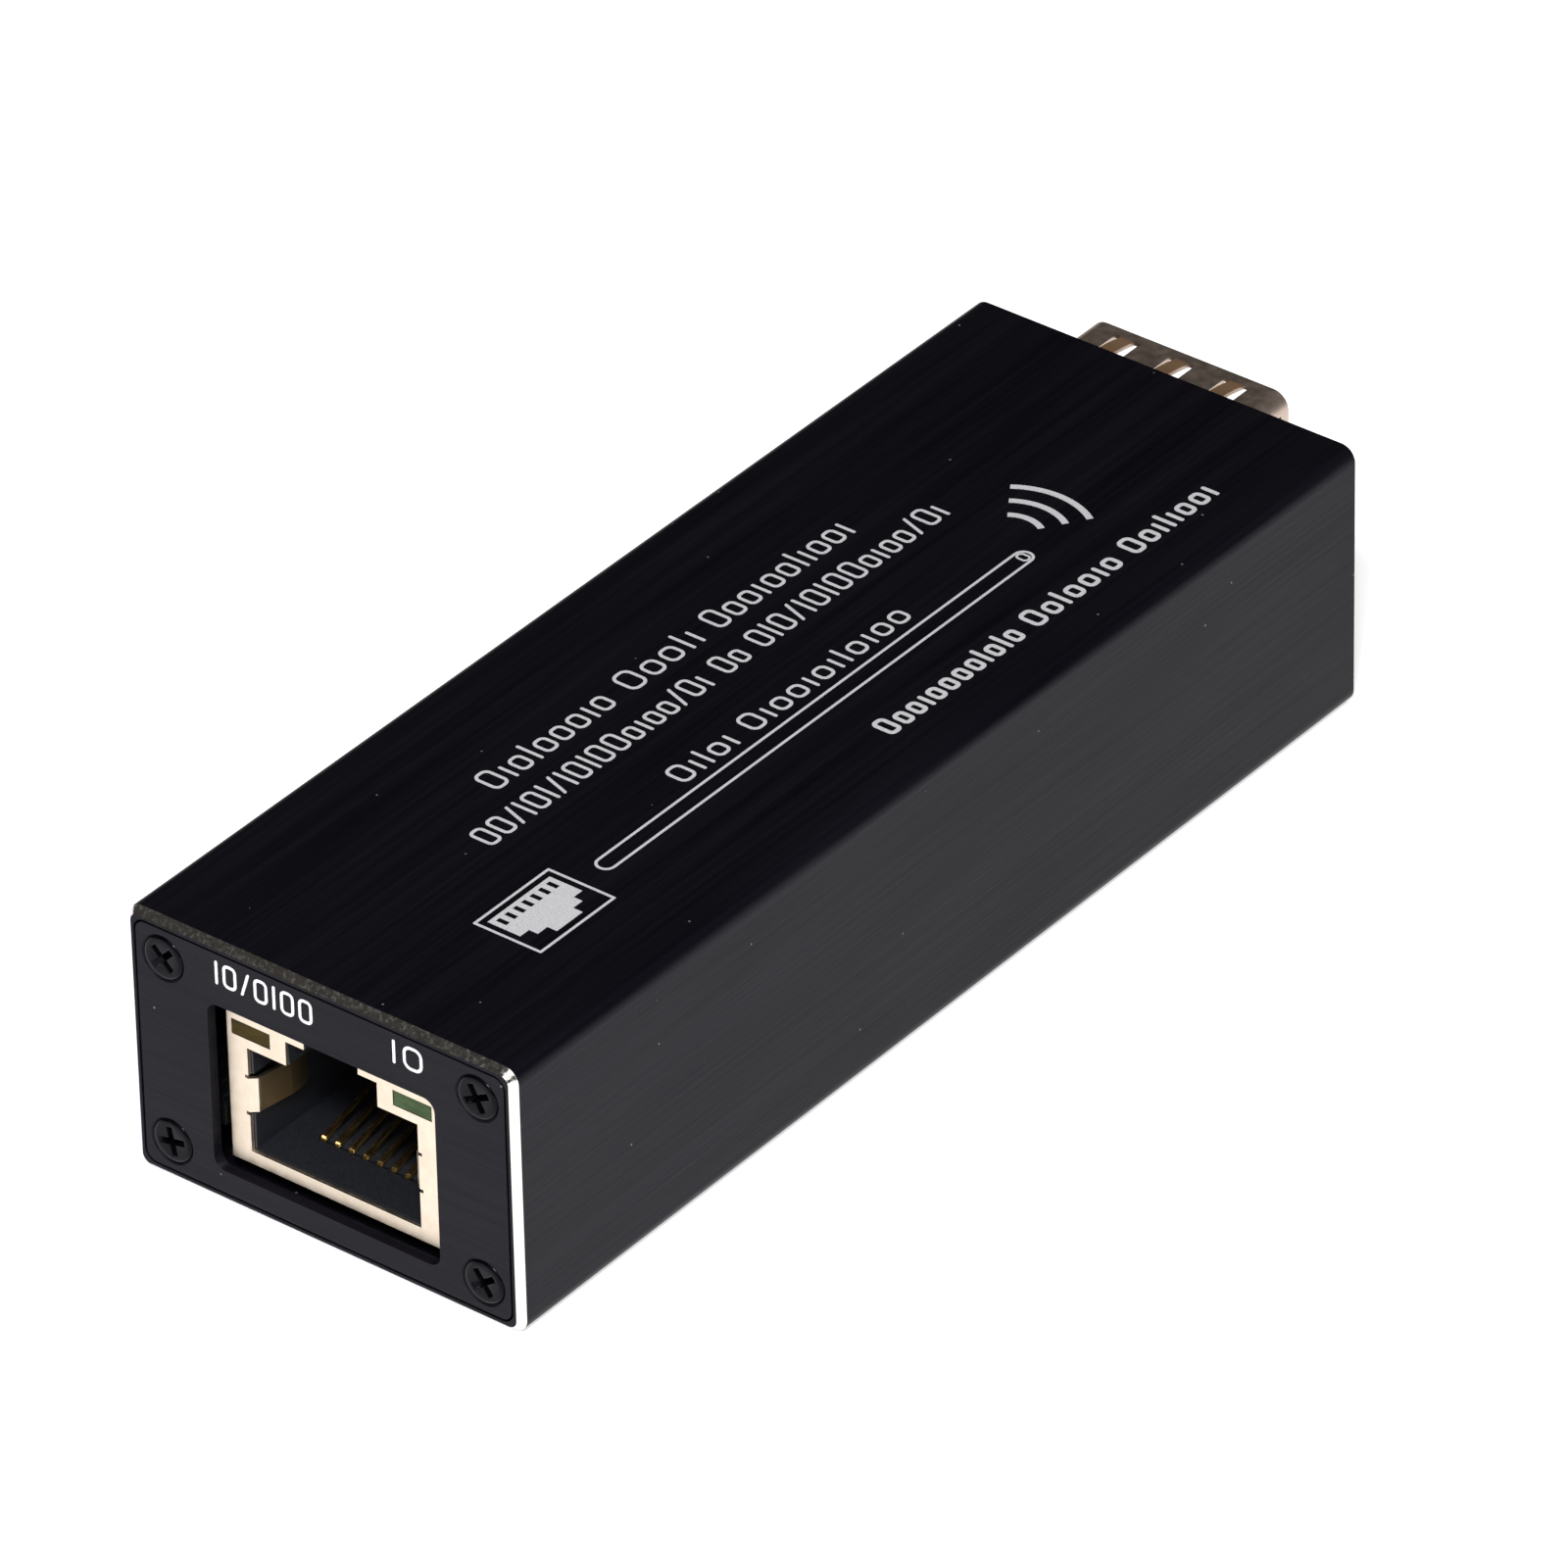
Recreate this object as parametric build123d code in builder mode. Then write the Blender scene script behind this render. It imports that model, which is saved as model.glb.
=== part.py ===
"""Fibre media converter in an aluminium tube: a twisted-pair socket at one end, a cage for a
pluggable fibre module at the other. All sizes are in millimetres.

+Z is up and the twisted-pair end faces -Y. The origin is the centre of the footprint, cage
included, on the face that the case rests on.
"""
import math
import os

from build123d import *

# Case tube. Its width, height and length follow from what it holds, further down.
case_wall = 1.3
case_edge_radius = 1.0
end_chamfer = 0.42
overrun = 1.0  # how far a cut runs past the metal

# Side grooves that carry the circuit board
board_thickness = 1.6
board_play = 0.1
board_side_gap = 0.15
board_channel_gap = 0.15
rib_depth = 0.6
rib_height = 0.8

# Screws, and the channels of the tube that they are driven into
screw_thread = 1.6
screw_length = 5.0
screw_head = 2.86
screw_sink = 0.1
screw_clearance = 0.05
screw_edge = 0.38
channel_reach = 1.75
channel_chamfer = 0.6

# End plates, flush in the mouths of the tube
plate_thickness = 0.7
plate_rim = 0.62
plate_clearance = 0.15
plate_corner_radius = 0.7

# Twisted-pair socket, sunk into a notch of the board. Its shield is drawn round the opening for
# the plug, which is a standard size.
plug_width = 12.3
plug_height = 7.1
plug_sill = 1.26
plug_wall = 1.8
latch_shoulder_width = 6.6
latch_shoulder_height = 1.64
latch_width = 3.9
latch_height = 1.6
jack_roof = 1.8
jack_length = 21.3
jack_sink = 3.75
jack_plate_gap = 0.2
jack_board_gap = 0.15
jack_headroom = 0.85
jack_channel_gap = 1.6
shield_sheet = 0.25
shield_bend_cut = 0.4
shield_lip = 2.5
socket_frame_side = 0.25
socket_frame_bottom = 0.15
socket_frame_over_lamps = 1.24
socket_frame_radius = 0.8
lamp_width = 2.8
lamp_height = 1.05
lamp_wall = 0.72
lamp_gap = 0.6
lamp_clearance = 0.04
lamp_length = 6.0
tab_sill = 3.95
tab_height = 2.3
tab_relief = 0.22
tab_run = 3.0
tab_inset = 0.72
tab_tip = 1.2
tab_tip_inset = 0.15
tab_bend_cut = 0.3
tail_window_margin = 0.63
tail_window_height = 0.9
ear_length = 3.0
ear_reach = 1.5
ear_leg = 1.0
ear_leg_length = 2.4
ear_pitch = 11.0

# Plastic body of the socket
housing_clearance = 0.05
housing_chamfer = 0.2
cavity_side_step = 0.15
cavity_floor_step = 0.1
cavity_floor = 1.1
cavity_depth = 12.6
tab_pocket_depth = 0.6
tab_pocket_length = 3.6
comb_rib = 0.42
comb_length = 3.6
comb_height = 2.2

# Spring contacts of the socket
contact_count = 8
contact_pitch = 1.02
contact_width = 0.4
contact_sheet = 0.3
contact_clearance = 0.05
contact_run_height = 0.5
contact_front = 3.2
contact_tip = 11.3
contact_tip_rise = 3.6
contact_rise = 0.85
contact_drop = 1.3
contact_tail = 1.1
contact_tail_lift = 0.02

# Cage for the fibre module, folded from one sheet, and its floor plate
cage_width = 14.5
cage_height = 9.8
cage_length = 48.7
cage_proud = 4.5
cage_headroom = 0.7
cage_channel_gap = 0.2
cage_sheet = 0.25
cage_corner_radius = 1.1
cage_nose = 8.6
finger_root = 0.75
finger_length = 6.4
finger_width = 1.0
finger_slit = 0.4
finger_rise = 0.42
roof_finger_margin = 1.2
side_finger_margin = 0.05
frame_clearance = 0.04
latch_hole_width = 3.2
latch_hole_length = 2.6
latch_hole_start = 2.4
cage_pin_count = 4
cage_pin_start = 13.0
cage_pin_end = 5.7
cage_pin_width = 0.8
cage_pin_length = 2.6
vent_width = 1.6
vent_length = 4.5
vent_count = 3
vent_pitch = 4.0
vent_start = 16.0
floor_clearance = 0.05
floor_host_gap = 0.3

# Host connector inside the cage, with one row of contacts above the module's card and one below
host_side_gap = 0.9
host_height = 5.4
host_length = 8.6
host_back_gap = 1.4
card_slot_margin = 0.92
card_slot_height = 1.5
card_slot_centre = 3.3
host_contact_count = 10
host_contact_pitch = 0.8
host_contact_width = 0.36
host_contact_sheet = 0.2
host_contact_clearance = 0.02
host_contact_inset = 0.6
host_row_step = 0.5
host_chamfer = 0.6

# Power inlet beside the cage
inlet_width = 5.6
inlet_side_gap = 0.1
inlet_cage_gap = 0.83
inlet_height = 6.0
inlet_length = 11.0
inlet_axis_height = 3.1
inlet_nose_diameter = 5.0
inlet_nose_sunk = 0.1
inlet_hole_gap = 0.1
inlet_plate_gap = 0.1
inlet_bore_diameter = 3.8
inlet_bore_depth = 8.5
inlet_pin_diameter = 1.3
inlet_pin_length = 6.6
inlet_pin_clearance = 0.03
inlet_pin_tail = 0.9
inlet_pin_tail_width = 1.0
spring_sheet = 0.25
spring_width = 1.8
spring_length = 6.0
spring_bow = 0.5
spring_clearance = 0.05

# Circuit board, and the parts soldered to it
board_end_gap = 0.3
nose_notch_gap = 0.15
pin_hole_gap = 0.1
transformer_width = 15.0
transformer_length = 7.2
transformer_height = 4.2
transformer_front_gap = 1.1
transformer_back_gap = 1.0
transformer_lead_count = 12
transformer_lead_pitch = 1.1
transformer_lead_rise = 1.6
lead_standoff = 0.1
lead_sheet = 0.2
lead_width = 0.45
lead_reach = 1.1
chip_bevel = 0.15
converter_chip_side = 9.0
converter_chip_height = 0.85
converter_chip_back = 26.0
memory_chip_width = 3.9
memory_chip_length = 4.9
memory_chip_height = 1.5
memory_lead_count = 4
memory_lead_pitch = 1.27
memory_lead_rise = 0.7
memory_gap = 6.0
regulator_side = 3.0
regulator_height = 0.9
inductor_side = 4.8
inductor_height = 3.0
inductor_corner = 1.0
can_diameter = 4.6
can_height = 5.2
can_base_height = 0.9
can_base_chamfer = 0.8
crystal_width = 2.5
crystal_length = 3.2
crystal_height = 0.8
crystal_cut = 0.3
surge_width = 2.6
surge_length = 4.3
surge_height = 2.2
surge_terminal = 0.5
fuse_width = 3.2
fuse_length = 4.5
fuse_height = 0.6
fuse_notch = 0.5
capacitor_width = 1.25
capacitor_length = 2.0
capacitor_height = 0.85
capacitor_count = 4
capacitor_gap = 1.5
resistor_width = 0.8
resistor_length = 1.6
resistor_height = 0.45
resistor_count = 4
small_part_pitch = 2.3

# The socket follows from its plug, and the screws from the edge of the plates
jack_width = plug_width + 2 * plug_wall
jack_height = plug_sill + plug_height + latch_shoulder_height + latch_height + jack_roof
lamp_offset = (jack_width - lamp_width) / 2 - lamp_wall
lamp_sill = plug_sill + plug_height + lamp_gap
contact_row = (contact_count - 1) * contact_pitch + contact_width
sink_radius = screw_thread / 2 + screw_clearance + plate_thickness
screw_inset = plate_rim + plate_clearance + sink_radius + screw_edge
channel_inset = screw_inset + channel_reach

# The tube follows from what it holds. Across, it takes the cage and the inlet side by side, or
# the socket between the screw channels. Upwards, it takes the board on the channels, with the
# cage or the socket over it. Lengthwise, it takes the socket, the transformer and the cage.
board_bottom = channel_inset + board_channel_gap
board_top = board_bottom + board_thickness
cage_margin = channel_inset + finger_rise + cage_channel_gap
inlet_margin = case_wall + rib_depth + inlet_side_gap
case_width = max(
    cage_margin + cage_width + inlet_cage_gap + inlet_width + inlet_margin,
    jack_width + 2 * (jack_channel_gap + channel_inset),
)
case_height = case_wall + board_top + max(
    cage_height + cage_headroom,
    jack_height - jack_sink + jack_headroom,
)
transformer_room = transformer_front_gap + transformer_length + 2 * lead_reach + transformer_back_gap
jack_room = plate_thickness + jack_plate_gap + jack_length + contact_tail
case_length = jack_room + transformer_room + cage_length - cage_proud

# Places that follow from the sizes
total_length = case_length + cage_proud
front_y = -total_length / 2
rear_y = front_y + case_length
mouth_y = rear_y + cage_proud
mid_z = case_height / 2
inner_width = case_width - 2 * case_wall
inner_height = case_height - 2 * case_wall
inlet_centre = case_width / 2 - inlet_margin - inlet_width / 2
cage_offset = inlet_centre - inlet_width / 2 - inlet_cage_gap - cage_width / 2
screw_x = case_width / 2 - screw_inset
screw_z = case_height / 2 - screw_inset
plate_width = case_width - 2 * (plate_rim + plate_clearance)
plate_height = case_height - 2 * (plate_rim + plate_clearance)
jack_front = front_y + plate_thickness + jack_plate_gap
jack_rear = jack_front + jack_length
jack_bottom = board_top - jack_sink
jack_mid_z = jack_bottom + jack_height / 2
cage_top = board_top + cage_height
cage_mid_z = board_top + cage_height / 2
cage_rear = mouth_y - cage_length
cage_side = cage_width / 2
nose_rear = mouth_y - cage_nose
strip_x = (inner_width / 2 - rib_depth + cage_offset + cage_side) / 2


def section_plane(y, x=0, z=0):
    """A plane across the case, facing the front, so extrusions from it run towards -Y."""
    return Plane(origin=(x, y, z), x_dir=(1, 0, 0), z_dir=(0, -1, 0))


def end_plane(y, side):
    """The plane of an end face as seen from outside: side -1 is the front, +1 the rear."""
    return Plane(origin=(0, y, mid_z), x_dir=(-side, 0, 0), z_dir=(0, side, 0))


def save(solid, label):
    """Name a finished piece and write it to its own file."""
    solid.label = label
    export_step(solid, f"parts/{label}.step")


os.makedirs("parts", exist_ok=True)



def cut_corners(points, cut):
    """The same path with each corner cut off, as far as cut along both of its runs."""
    path = [points[0]]
    for before, corner, after in zip(points, points[1:], points[2:]):
        for neighbour in (before, after):
            share = cut / math.dist(corner, neighbour)
            path.append(tuple(c + share * (n - c) for c, n in zip(corner, neighbour)))
    path.append(points[-1])
    return path


# The tube: round corners, a block in each inner corner, and two ribs on each side wall that leave
# a groove for the board. Each block has a channel with parallel sides, open towards the middle,
# that the screws cut their thread into. Both ends are milled out for the plates and chamfered.
rib_x = (inner_width - rib_depth) / 2
block_side = channel_inset - case_wall
channel_width = screw_thread + 2 * screw_clearance
with BuildPart() as case_tube:
    with BuildSketch(section_plane(rear_y, z=mid_z)):
        RectangleRounded(case_width, case_height, case_edge_radius)
        Rectangle(inner_width, inner_height, mode=Mode.SUBTRACT)
        for side in (-1, 1):
            for up in (-1, 1):
                corner_x = side * inner_width / 2
                corner_z = up * inner_height / 2
                with BuildLine():
                    Polyline(
                        (corner_x, corner_z),
                        (corner_x - side * block_side, corner_z),
                        (corner_x - side * block_side, corner_z - up * (block_side - channel_chamfer)),
                        (corner_x - side * (block_side - channel_chamfer), corner_z - up * block_side),
                        (corner_x, corner_z - up * block_side),
                        close=True,
                    )
                make_face()
    extrude(amount=case_length)
    with BuildSketch(section_plane(rear_y)):
        with Locations((-rib_x, board_bottom), (rib_x, board_bottom)):
            Rectangle(rib_depth, rib_height, align=(Align.CENTER, Align.MAX))
        with Locations((-rib_x, board_top + board_play), (rib_x, board_top + board_play)):
            Rectangle(rib_depth, rib_height, align=(Align.CENTER, Align.MIN))
    extrude(amount=case_length)
    with BuildSketch(section_plane(rear_y, z=mid_z)):
        for side in (-1, 1):
            for up in (-1, 1):
                towards_middle = math.degrees(math.atan2(-up, -side))
                with Locations(Location((side * screw_x, up * screw_z), towards_middle)):
                    with Locations((-channel_width / 2, 0)):
                        Rectangle(
                            channel_width / 2 + 2 * channel_reach,
                            channel_width,
                            align=(Align.MIN, Align.CENTER),
                        )
    extrude(amount=case_length, mode=Mode.SUBTRACT)
    for pocket_floor in (front_y + plate_thickness, rear_y):
        with BuildSketch(section_plane(pocket_floor, z=mid_z)):
            RectangleRounded(
                case_width - 2 * plate_rim,
                case_height - 2 * plate_rim,
                plate_corner_radius + plate_clearance,
            )
        extrude(amount=plate_thickness, mode=Mode.SUBTRACT)
    front_rim = case_tube.faces().sort_by(Axis.Y)[0].outer_wire()
    rear_rim = case_tube.faces().sort_by(Axis.Y)[-1].outer_wire()
    chamfer(front_rim.edges() + rear_rim.edges(), end_chamfer)
save(case_tube.part, "case_tube")


def end_plate(outer_y, side, openings):
    """A flush end plate with four countersunk screw holes; openings is the sketch cut through."""
    face = end_plane(outer_y, side)
    with BuildPart(face) as plate:
        with BuildSketch(face):
            RectangleRounded(plate_width, plate_height, plate_corner_radius)
        extrude(amount=-plate_thickness)
        extrude(openings, amount=plate_thickness + overrun, both=True, mode=Mode.SUBTRACT)
        with GridLocations(2 * screw_x, 2 * screw_z, 2, 2):
            Cone(
                bottom_radius=sink_radius - plate_thickness,
                top_radius=sink_radius,
                height=plate_thickness,
                align=(Align.CENTER, Align.CENTER, Align.MAX),
                mode=Mode.SUBTRACT,
            )
    return plate.part


socket_frame_width = jack_width + 2 * socket_frame_side
socket_frame_height = socket_frame_bottom + lamp_sill + lamp_height + socket_frame_over_lamps
with BuildSketch(section_plane(front_y, z=jack_bottom - socket_frame_bottom)) as socket_frame:
    with Locations((0, socket_frame_height / 2)):
        RectangleRounded(socket_frame_width, socket_frame_height, socket_frame_radius)
save(end_plate(front_y, -1, socket_frame.sketch), "front_plate")

cage_frame_side = finger_rise + frame_clearance
with BuildSketch(section_plane(rear_y)) as rear_openings:
    with Locations((cage_offset, cage_mid_z)):
        Rectangle(cage_width + 2 * cage_frame_side, cage_height + 2 * cage_frame_side)
    with Locations((inlet_centre, board_top + inlet_axis_height)):
        Circle(inlet_nose_diameter / 2 + inlet_hole_gap)
save(end_plate(rear_y, 1, rear_openings.sketch), "rear_plate")


def screw_set(face):
    """Four countersunk screws in the corners of an end face, as separate solids."""
    with BuildPart(face.offset(-screw_sink)) as screws:
        with GridLocations(2 * screw_x, 2 * screw_z, 2, 2):
            Cone(
                bottom_radius=screw_thread / 2,
                top_radius=screw_head / 2,
                height=(screw_head - screw_thread) / 2,
                align=(Align.CENTER, Align.CENTER, Align.MAX),
            )
            Cylinder(
                screw_thread / 2,
                screw_length,
                align=(Align.CENTER, Align.CENTER, Align.MAX),
            )
    return screws.part


save(screw_set(end_plane(front_y, -1)), "front_plate_screws")
save(screw_set(end_plane(rear_y, 1)), "rear_plate_screws")

# Shield of the socket: one sheet folded into a box that is open below, with a lip turned under
# its front edge. The front face has the stepped plug opening and the two lamp windows, and a
# spring tab bent inwards on each side of the opening.
ear_places = [
    (side * (jack_width + ear_reach) / 2, jack_front + jack_length / 2 + along)
    for side in (-1, 1)
    for along in (-ear_pitch / 2, ear_pitch / 2)
]
leg_x = jack_width / 2 + ear_reach - shield_sheet / 2


def shield_form(margin):
    """The folded box of the shield, or the space that lies margin inside its faces."""
    bend_cut = shield_bend_cut - margin * (2 - math.sqrt(2))
    with BuildPart() as form:
        with BuildSketch(section_plane(jack_rear - margin, z=jack_mid_z)):
            Rectangle(jack_width - 2 * margin, jack_height - 2 * margin)
        extrude(amount=jack_length - 2 * margin)
        upper_edges = form.edges().filter_by(Axis.Y).group_by(Axis.Z)[-1]
        front_edges = form.edges().group_by(Axis.Y)[0]
        chamfer(upper_edges + front_edges, bend_cut)
    return form.part


with BuildPart() as rj45_shield:
    add(shield_form(0))
    add(shield_form(shield_sheet), mode=Mode.SUBTRACT)
    with BuildSketch(Plane.XY.offset(jack_bottom)):
        with Locations((0, jack_rear - shield_sheet)):
            Rectangle(
                jack_width - 2 * shield_sheet,
                jack_length - shield_sheet - shield_bend_cut - shield_lip,
                align=(Align.CENTER, Align.MAX),
            )
    extrude(amount=shield_bend_cut, both=True, mode=Mode.SUBTRACT)
    with BuildSketch(section_plane(jack_front, z=jack_bottom)):
        with Locations((0, plug_sill)):
            Rectangle(plug_width, plug_height, align=(Align.CENTER, Align.MIN))
        with Locations((0, plug_sill + plug_height)):
            Rectangle(
                latch_shoulder_width,
                latch_shoulder_height,
                align=(Align.CENTER, Align.MIN),
            )
        with Locations((0, plug_sill + plug_height + latch_shoulder_height)):
            Rectangle(latch_width, latch_height, align=(Align.CENTER, Align.MIN))
        with Locations((-lamp_offset, lamp_sill), (lamp_offset, lamp_sill)):
            Rectangle(lamp_width, lamp_height, align=(Align.CENTER, Align.MIN))
        for notch_z in (tab_sill - tab_relief, tab_sill + tab_height):
            with Locations((0, notch_z)):
                Rectangle(
                    plug_width + 2 * shield_sheet,
                    tab_relief,
                    align=(Align.CENTER, Align.MIN),
                )
    extrude(amount=shield_bend_cut, both=True, mode=Mode.SUBTRACT)
    with BuildSketch(section_plane(jack_rear, z=jack_bottom)):
        Rectangle(
            contact_row + 2 * tail_window_margin,
            jack_sink + tail_window_height,
            align=(Align.CENTER, Align.MIN),
        )
    extrude(amount=shield_bend_cut, both=True, mode=Mode.SUBTRACT)
    for side in (-1, 1):
        edge_x = side * plug_width / 2
        fold_y = jack_front + shield_sheet / 2
        with BuildSketch(Plane.XY.offset(jack_bottom + tab_sill)):
            with BuildLine():
                tab_line = [
                    (edge_x + side * shield_sheet, fold_y),
                    (edge_x - side * shield_sheet, fold_y),
                    (edge_x - side * tab_inset, fold_y + tab_run),
                    (edge_x - side * (tab_inset - tab_tip_inset), fold_y + tab_run + tab_tip),
                ]
                Polyline(*cut_corners(tab_line, tab_bend_cut))
            trace(line_width=shield_sheet)
        extrude(amount=tab_height)
    with BuildSketch(Plane.XY.offset(board_top)):
        with Locations(*ear_places):
            Rectangle(ear_reach, ear_length)
    extrude(amount=shield_sheet)
    with BuildSketch(Plane.XY.offset(board_top)):
        for x, y in ear_places:
            with Locations((math.copysign(leg_x, x), y)):
                Rectangle(shield_sheet, ear_leg)
    extrude(amount=-ear_leg_length)
save(rj45_shield.part, "rj45_shield")


def contact_line():
    """The path of a socket contact in the Y-Z plane, from its solder tail to its sprung tip."""
    tail_z = board_top + contact_sheet / 2 + contact_tail_lift
    run_z = jack_bottom + contact_run_height
    corners = [
        (jack_rear + contact_tail, tail_z),
        (jack_rear - contact_drop, tail_z),
        (jack_rear - contact_drop, run_z),
        (jack_front + contact_front, run_z),
        (jack_front + contact_front, run_z + contact_rise),
        (jack_front + contact_tip, jack_bottom + contact_tip_rise),
    ]
    return Polyline(*corners)


# Plastic body of the socket: it fills the shield and holds the plug cavity, the latch channel,
# two lamp pockets, a slot along the contacts' path and the comb that keeps them apart.
housing_front = jack_front + shield_sheet + housing_clearance
housing_rear = jack_rear - shield_sheet - housing_clearance
housing_bottom = jack_bottom + shield_sheet + housing_clearance
housing_width = jack_width - 2 * (shield_sheet + housing_clearance)
housing_height = jack_height - 2 * (shield_sheet + housing_clearance)
cavity_width = plug_width - 2 * cavity_side_step
cavity_height = plug_height - 2 * cavity_floor_step
with BuildPart() as rj45_housing:
    with BuildSketch(section_plane(housing_rear, z=housing_bottom)):
        Rectangle(housing_width, housing_height, align=(Align.CENTER, Align.MIN))
    extrude(amount=housing_rear - housing_front)
    long_edges = rj45_housing.edges().filter_by(Axis.Y)
    front_edges = rj45_housing.edges().group_by(Axis.Y)[0]
    chamfer(long_edges + front_edges, housing_chamfer)
    with BuildSketch(section_plane(housing_front, z=jack_bottom)):
        with Locations((0, plug_sill + cavity_floor_step)):
            Rectangle(cavity_width, cavity_height, align=(Align.CENTER, Align.MIN))
        with Locations((0, plug_sill + plug_height / 2)):
            Rectangle(
                latch_shoulder_width,
                plug_height / 2 + latch_shoulder_height,
                align=(Align.CENTER, Align.MIN),
            )
            Rectangle(
                latch_width,
                plug_height / 2 + latch_shoulder_height + latch_height,
                align=(Align.CENTER, Align.MIN),
            )
    extrude(amount=-cavity_depth, mode=Mode.SUBTRACT)
    with BuildSketch(section_plane(housing_front, z=jack_bottom)):
        with Locations((-lamp_offset, lamp_sill), (lamp_offset, lamp_sill)):
            Rectangle(lamp_width, lamp_height, align=(Align.CENTER, Align.MIN))
    extrude(amount=-lamp_length, mode=Mode.SUBTRACT)
    with BuildSketch(section_plane(housing_front, z=jack_bottom + tab_sill - tab_relief)):
        Rectangle(
            plug_width + 2 * tab_pocket_depth,
            tab_height + 2 * tab_relief,
            align=(Align.CENTER, Align.MIN),
        )
    extrude(amount=-tab_pocket_length, mode=Mode.SUBTRACT)
    with BuildSketch(Plane.YZ):
        with BuildLine():
            contact_line()
        trace(line_width=contact_sheet + 2 * contact_clearance)
    extrude(amount=contact_row / 2 + contact_clearance, both=True, mode=Mode.SUBTRACT)
    with BuildSketch(Plane.XY.offset(housing_bottom)):
        with Locations((0, housing_front + cavity_depth)):
            with GridLocations(contact_pitch, 0, contact_count + 1, 1):
                Rectangle(comb_rib, comb_length, align=(Align.CENTER, Align.MAX))
    extrude(amount=cavity_floor + comb_height)
save(rj45_housing.part, "rj45_housing")

with BuildPart() as rj45_contacts:
    for number in range(contact_count):
        x = (number - (contact_count - 1) / 2) * contact_pitch
        with BuildSketch(Plane.YZ.offset(x)):
            with BuildLine():
                contact_line()
            trace(line_width=contact_sheet)
        extrude(amount=contact_width / 2, both=True)
save(rj45_contacts.part, "rj45_contacts")


def lamp(x):
    """A rectangular lamp that looks out of its window in the shield."""
    with BuildPart() as bar:
        with BuildSketch(section_plane(jack_front + lamp_length, x, jack_bottom + lamp_sill)):
            with Locations((0, lamp_height / 2)):
                Rectangle(lamp_width - 2 * lamp_clearance, lamp_height - 2 * lamp_clearance)
        extrude(amount=lamp_length - lamp_clearance)
    return bar.part


save(lamp(-lamp_offset), "rj45_lamp_left")
save(lamp(lamp_offset), "rj45_lamp_right")


def finger_plane(x, z, outward_x, outward_z):
    """The middle plane of a spring finger: its x runs back from the mouth, its y outwards."""
    return Plane(origin=(x, mouth_y, z), x_dir=(0, -1, 0), z_dir=(-outward_z, 0, outward_x))


# Fingers: three on the roof, two on each side and two below, beside the latch hole
finger_reach = finger_width / 2 + finger_slit
finger_pitch = cage_side - cage_corner_radius - roof_finger_margin - finger_reach
side_finger_pitch = cage_height - 2 * (cage_corner_radius + side_finger_margin + finger_reach)
roof_fingers = [(cage_offset + step * finger_pitch, cage_top, 0, 1) for step in (-1, 0, 1)]
floor_fingers = [(cage_offset + step * finger_pitch, board_top, 0, -1) for step in (-1, 1)]
side_fingers = [
    (cage_offset + side * cage_side, cage_mid_z + up * side_finger_pitch / 2, side, 0)
    for side in (-1, 1)
    for up in (-1, 1)
]
cage_pin_pitch = (cage_length - cage_pin_start - cage_pin_end) / (cage_pin_count - 1)
cage_pin_ys = [mouth_y - cage_pin_start - n * cage_pin_pitch for n in range(cage_pin_count)]
cage_pin_xs = [cage_offset + side * (cage_side - cage_sheet / 2) for side in (-1, 1)]
cage_pins = [(x, y) for x in cage_pin_xs for y in cage_pin_ys]

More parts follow.
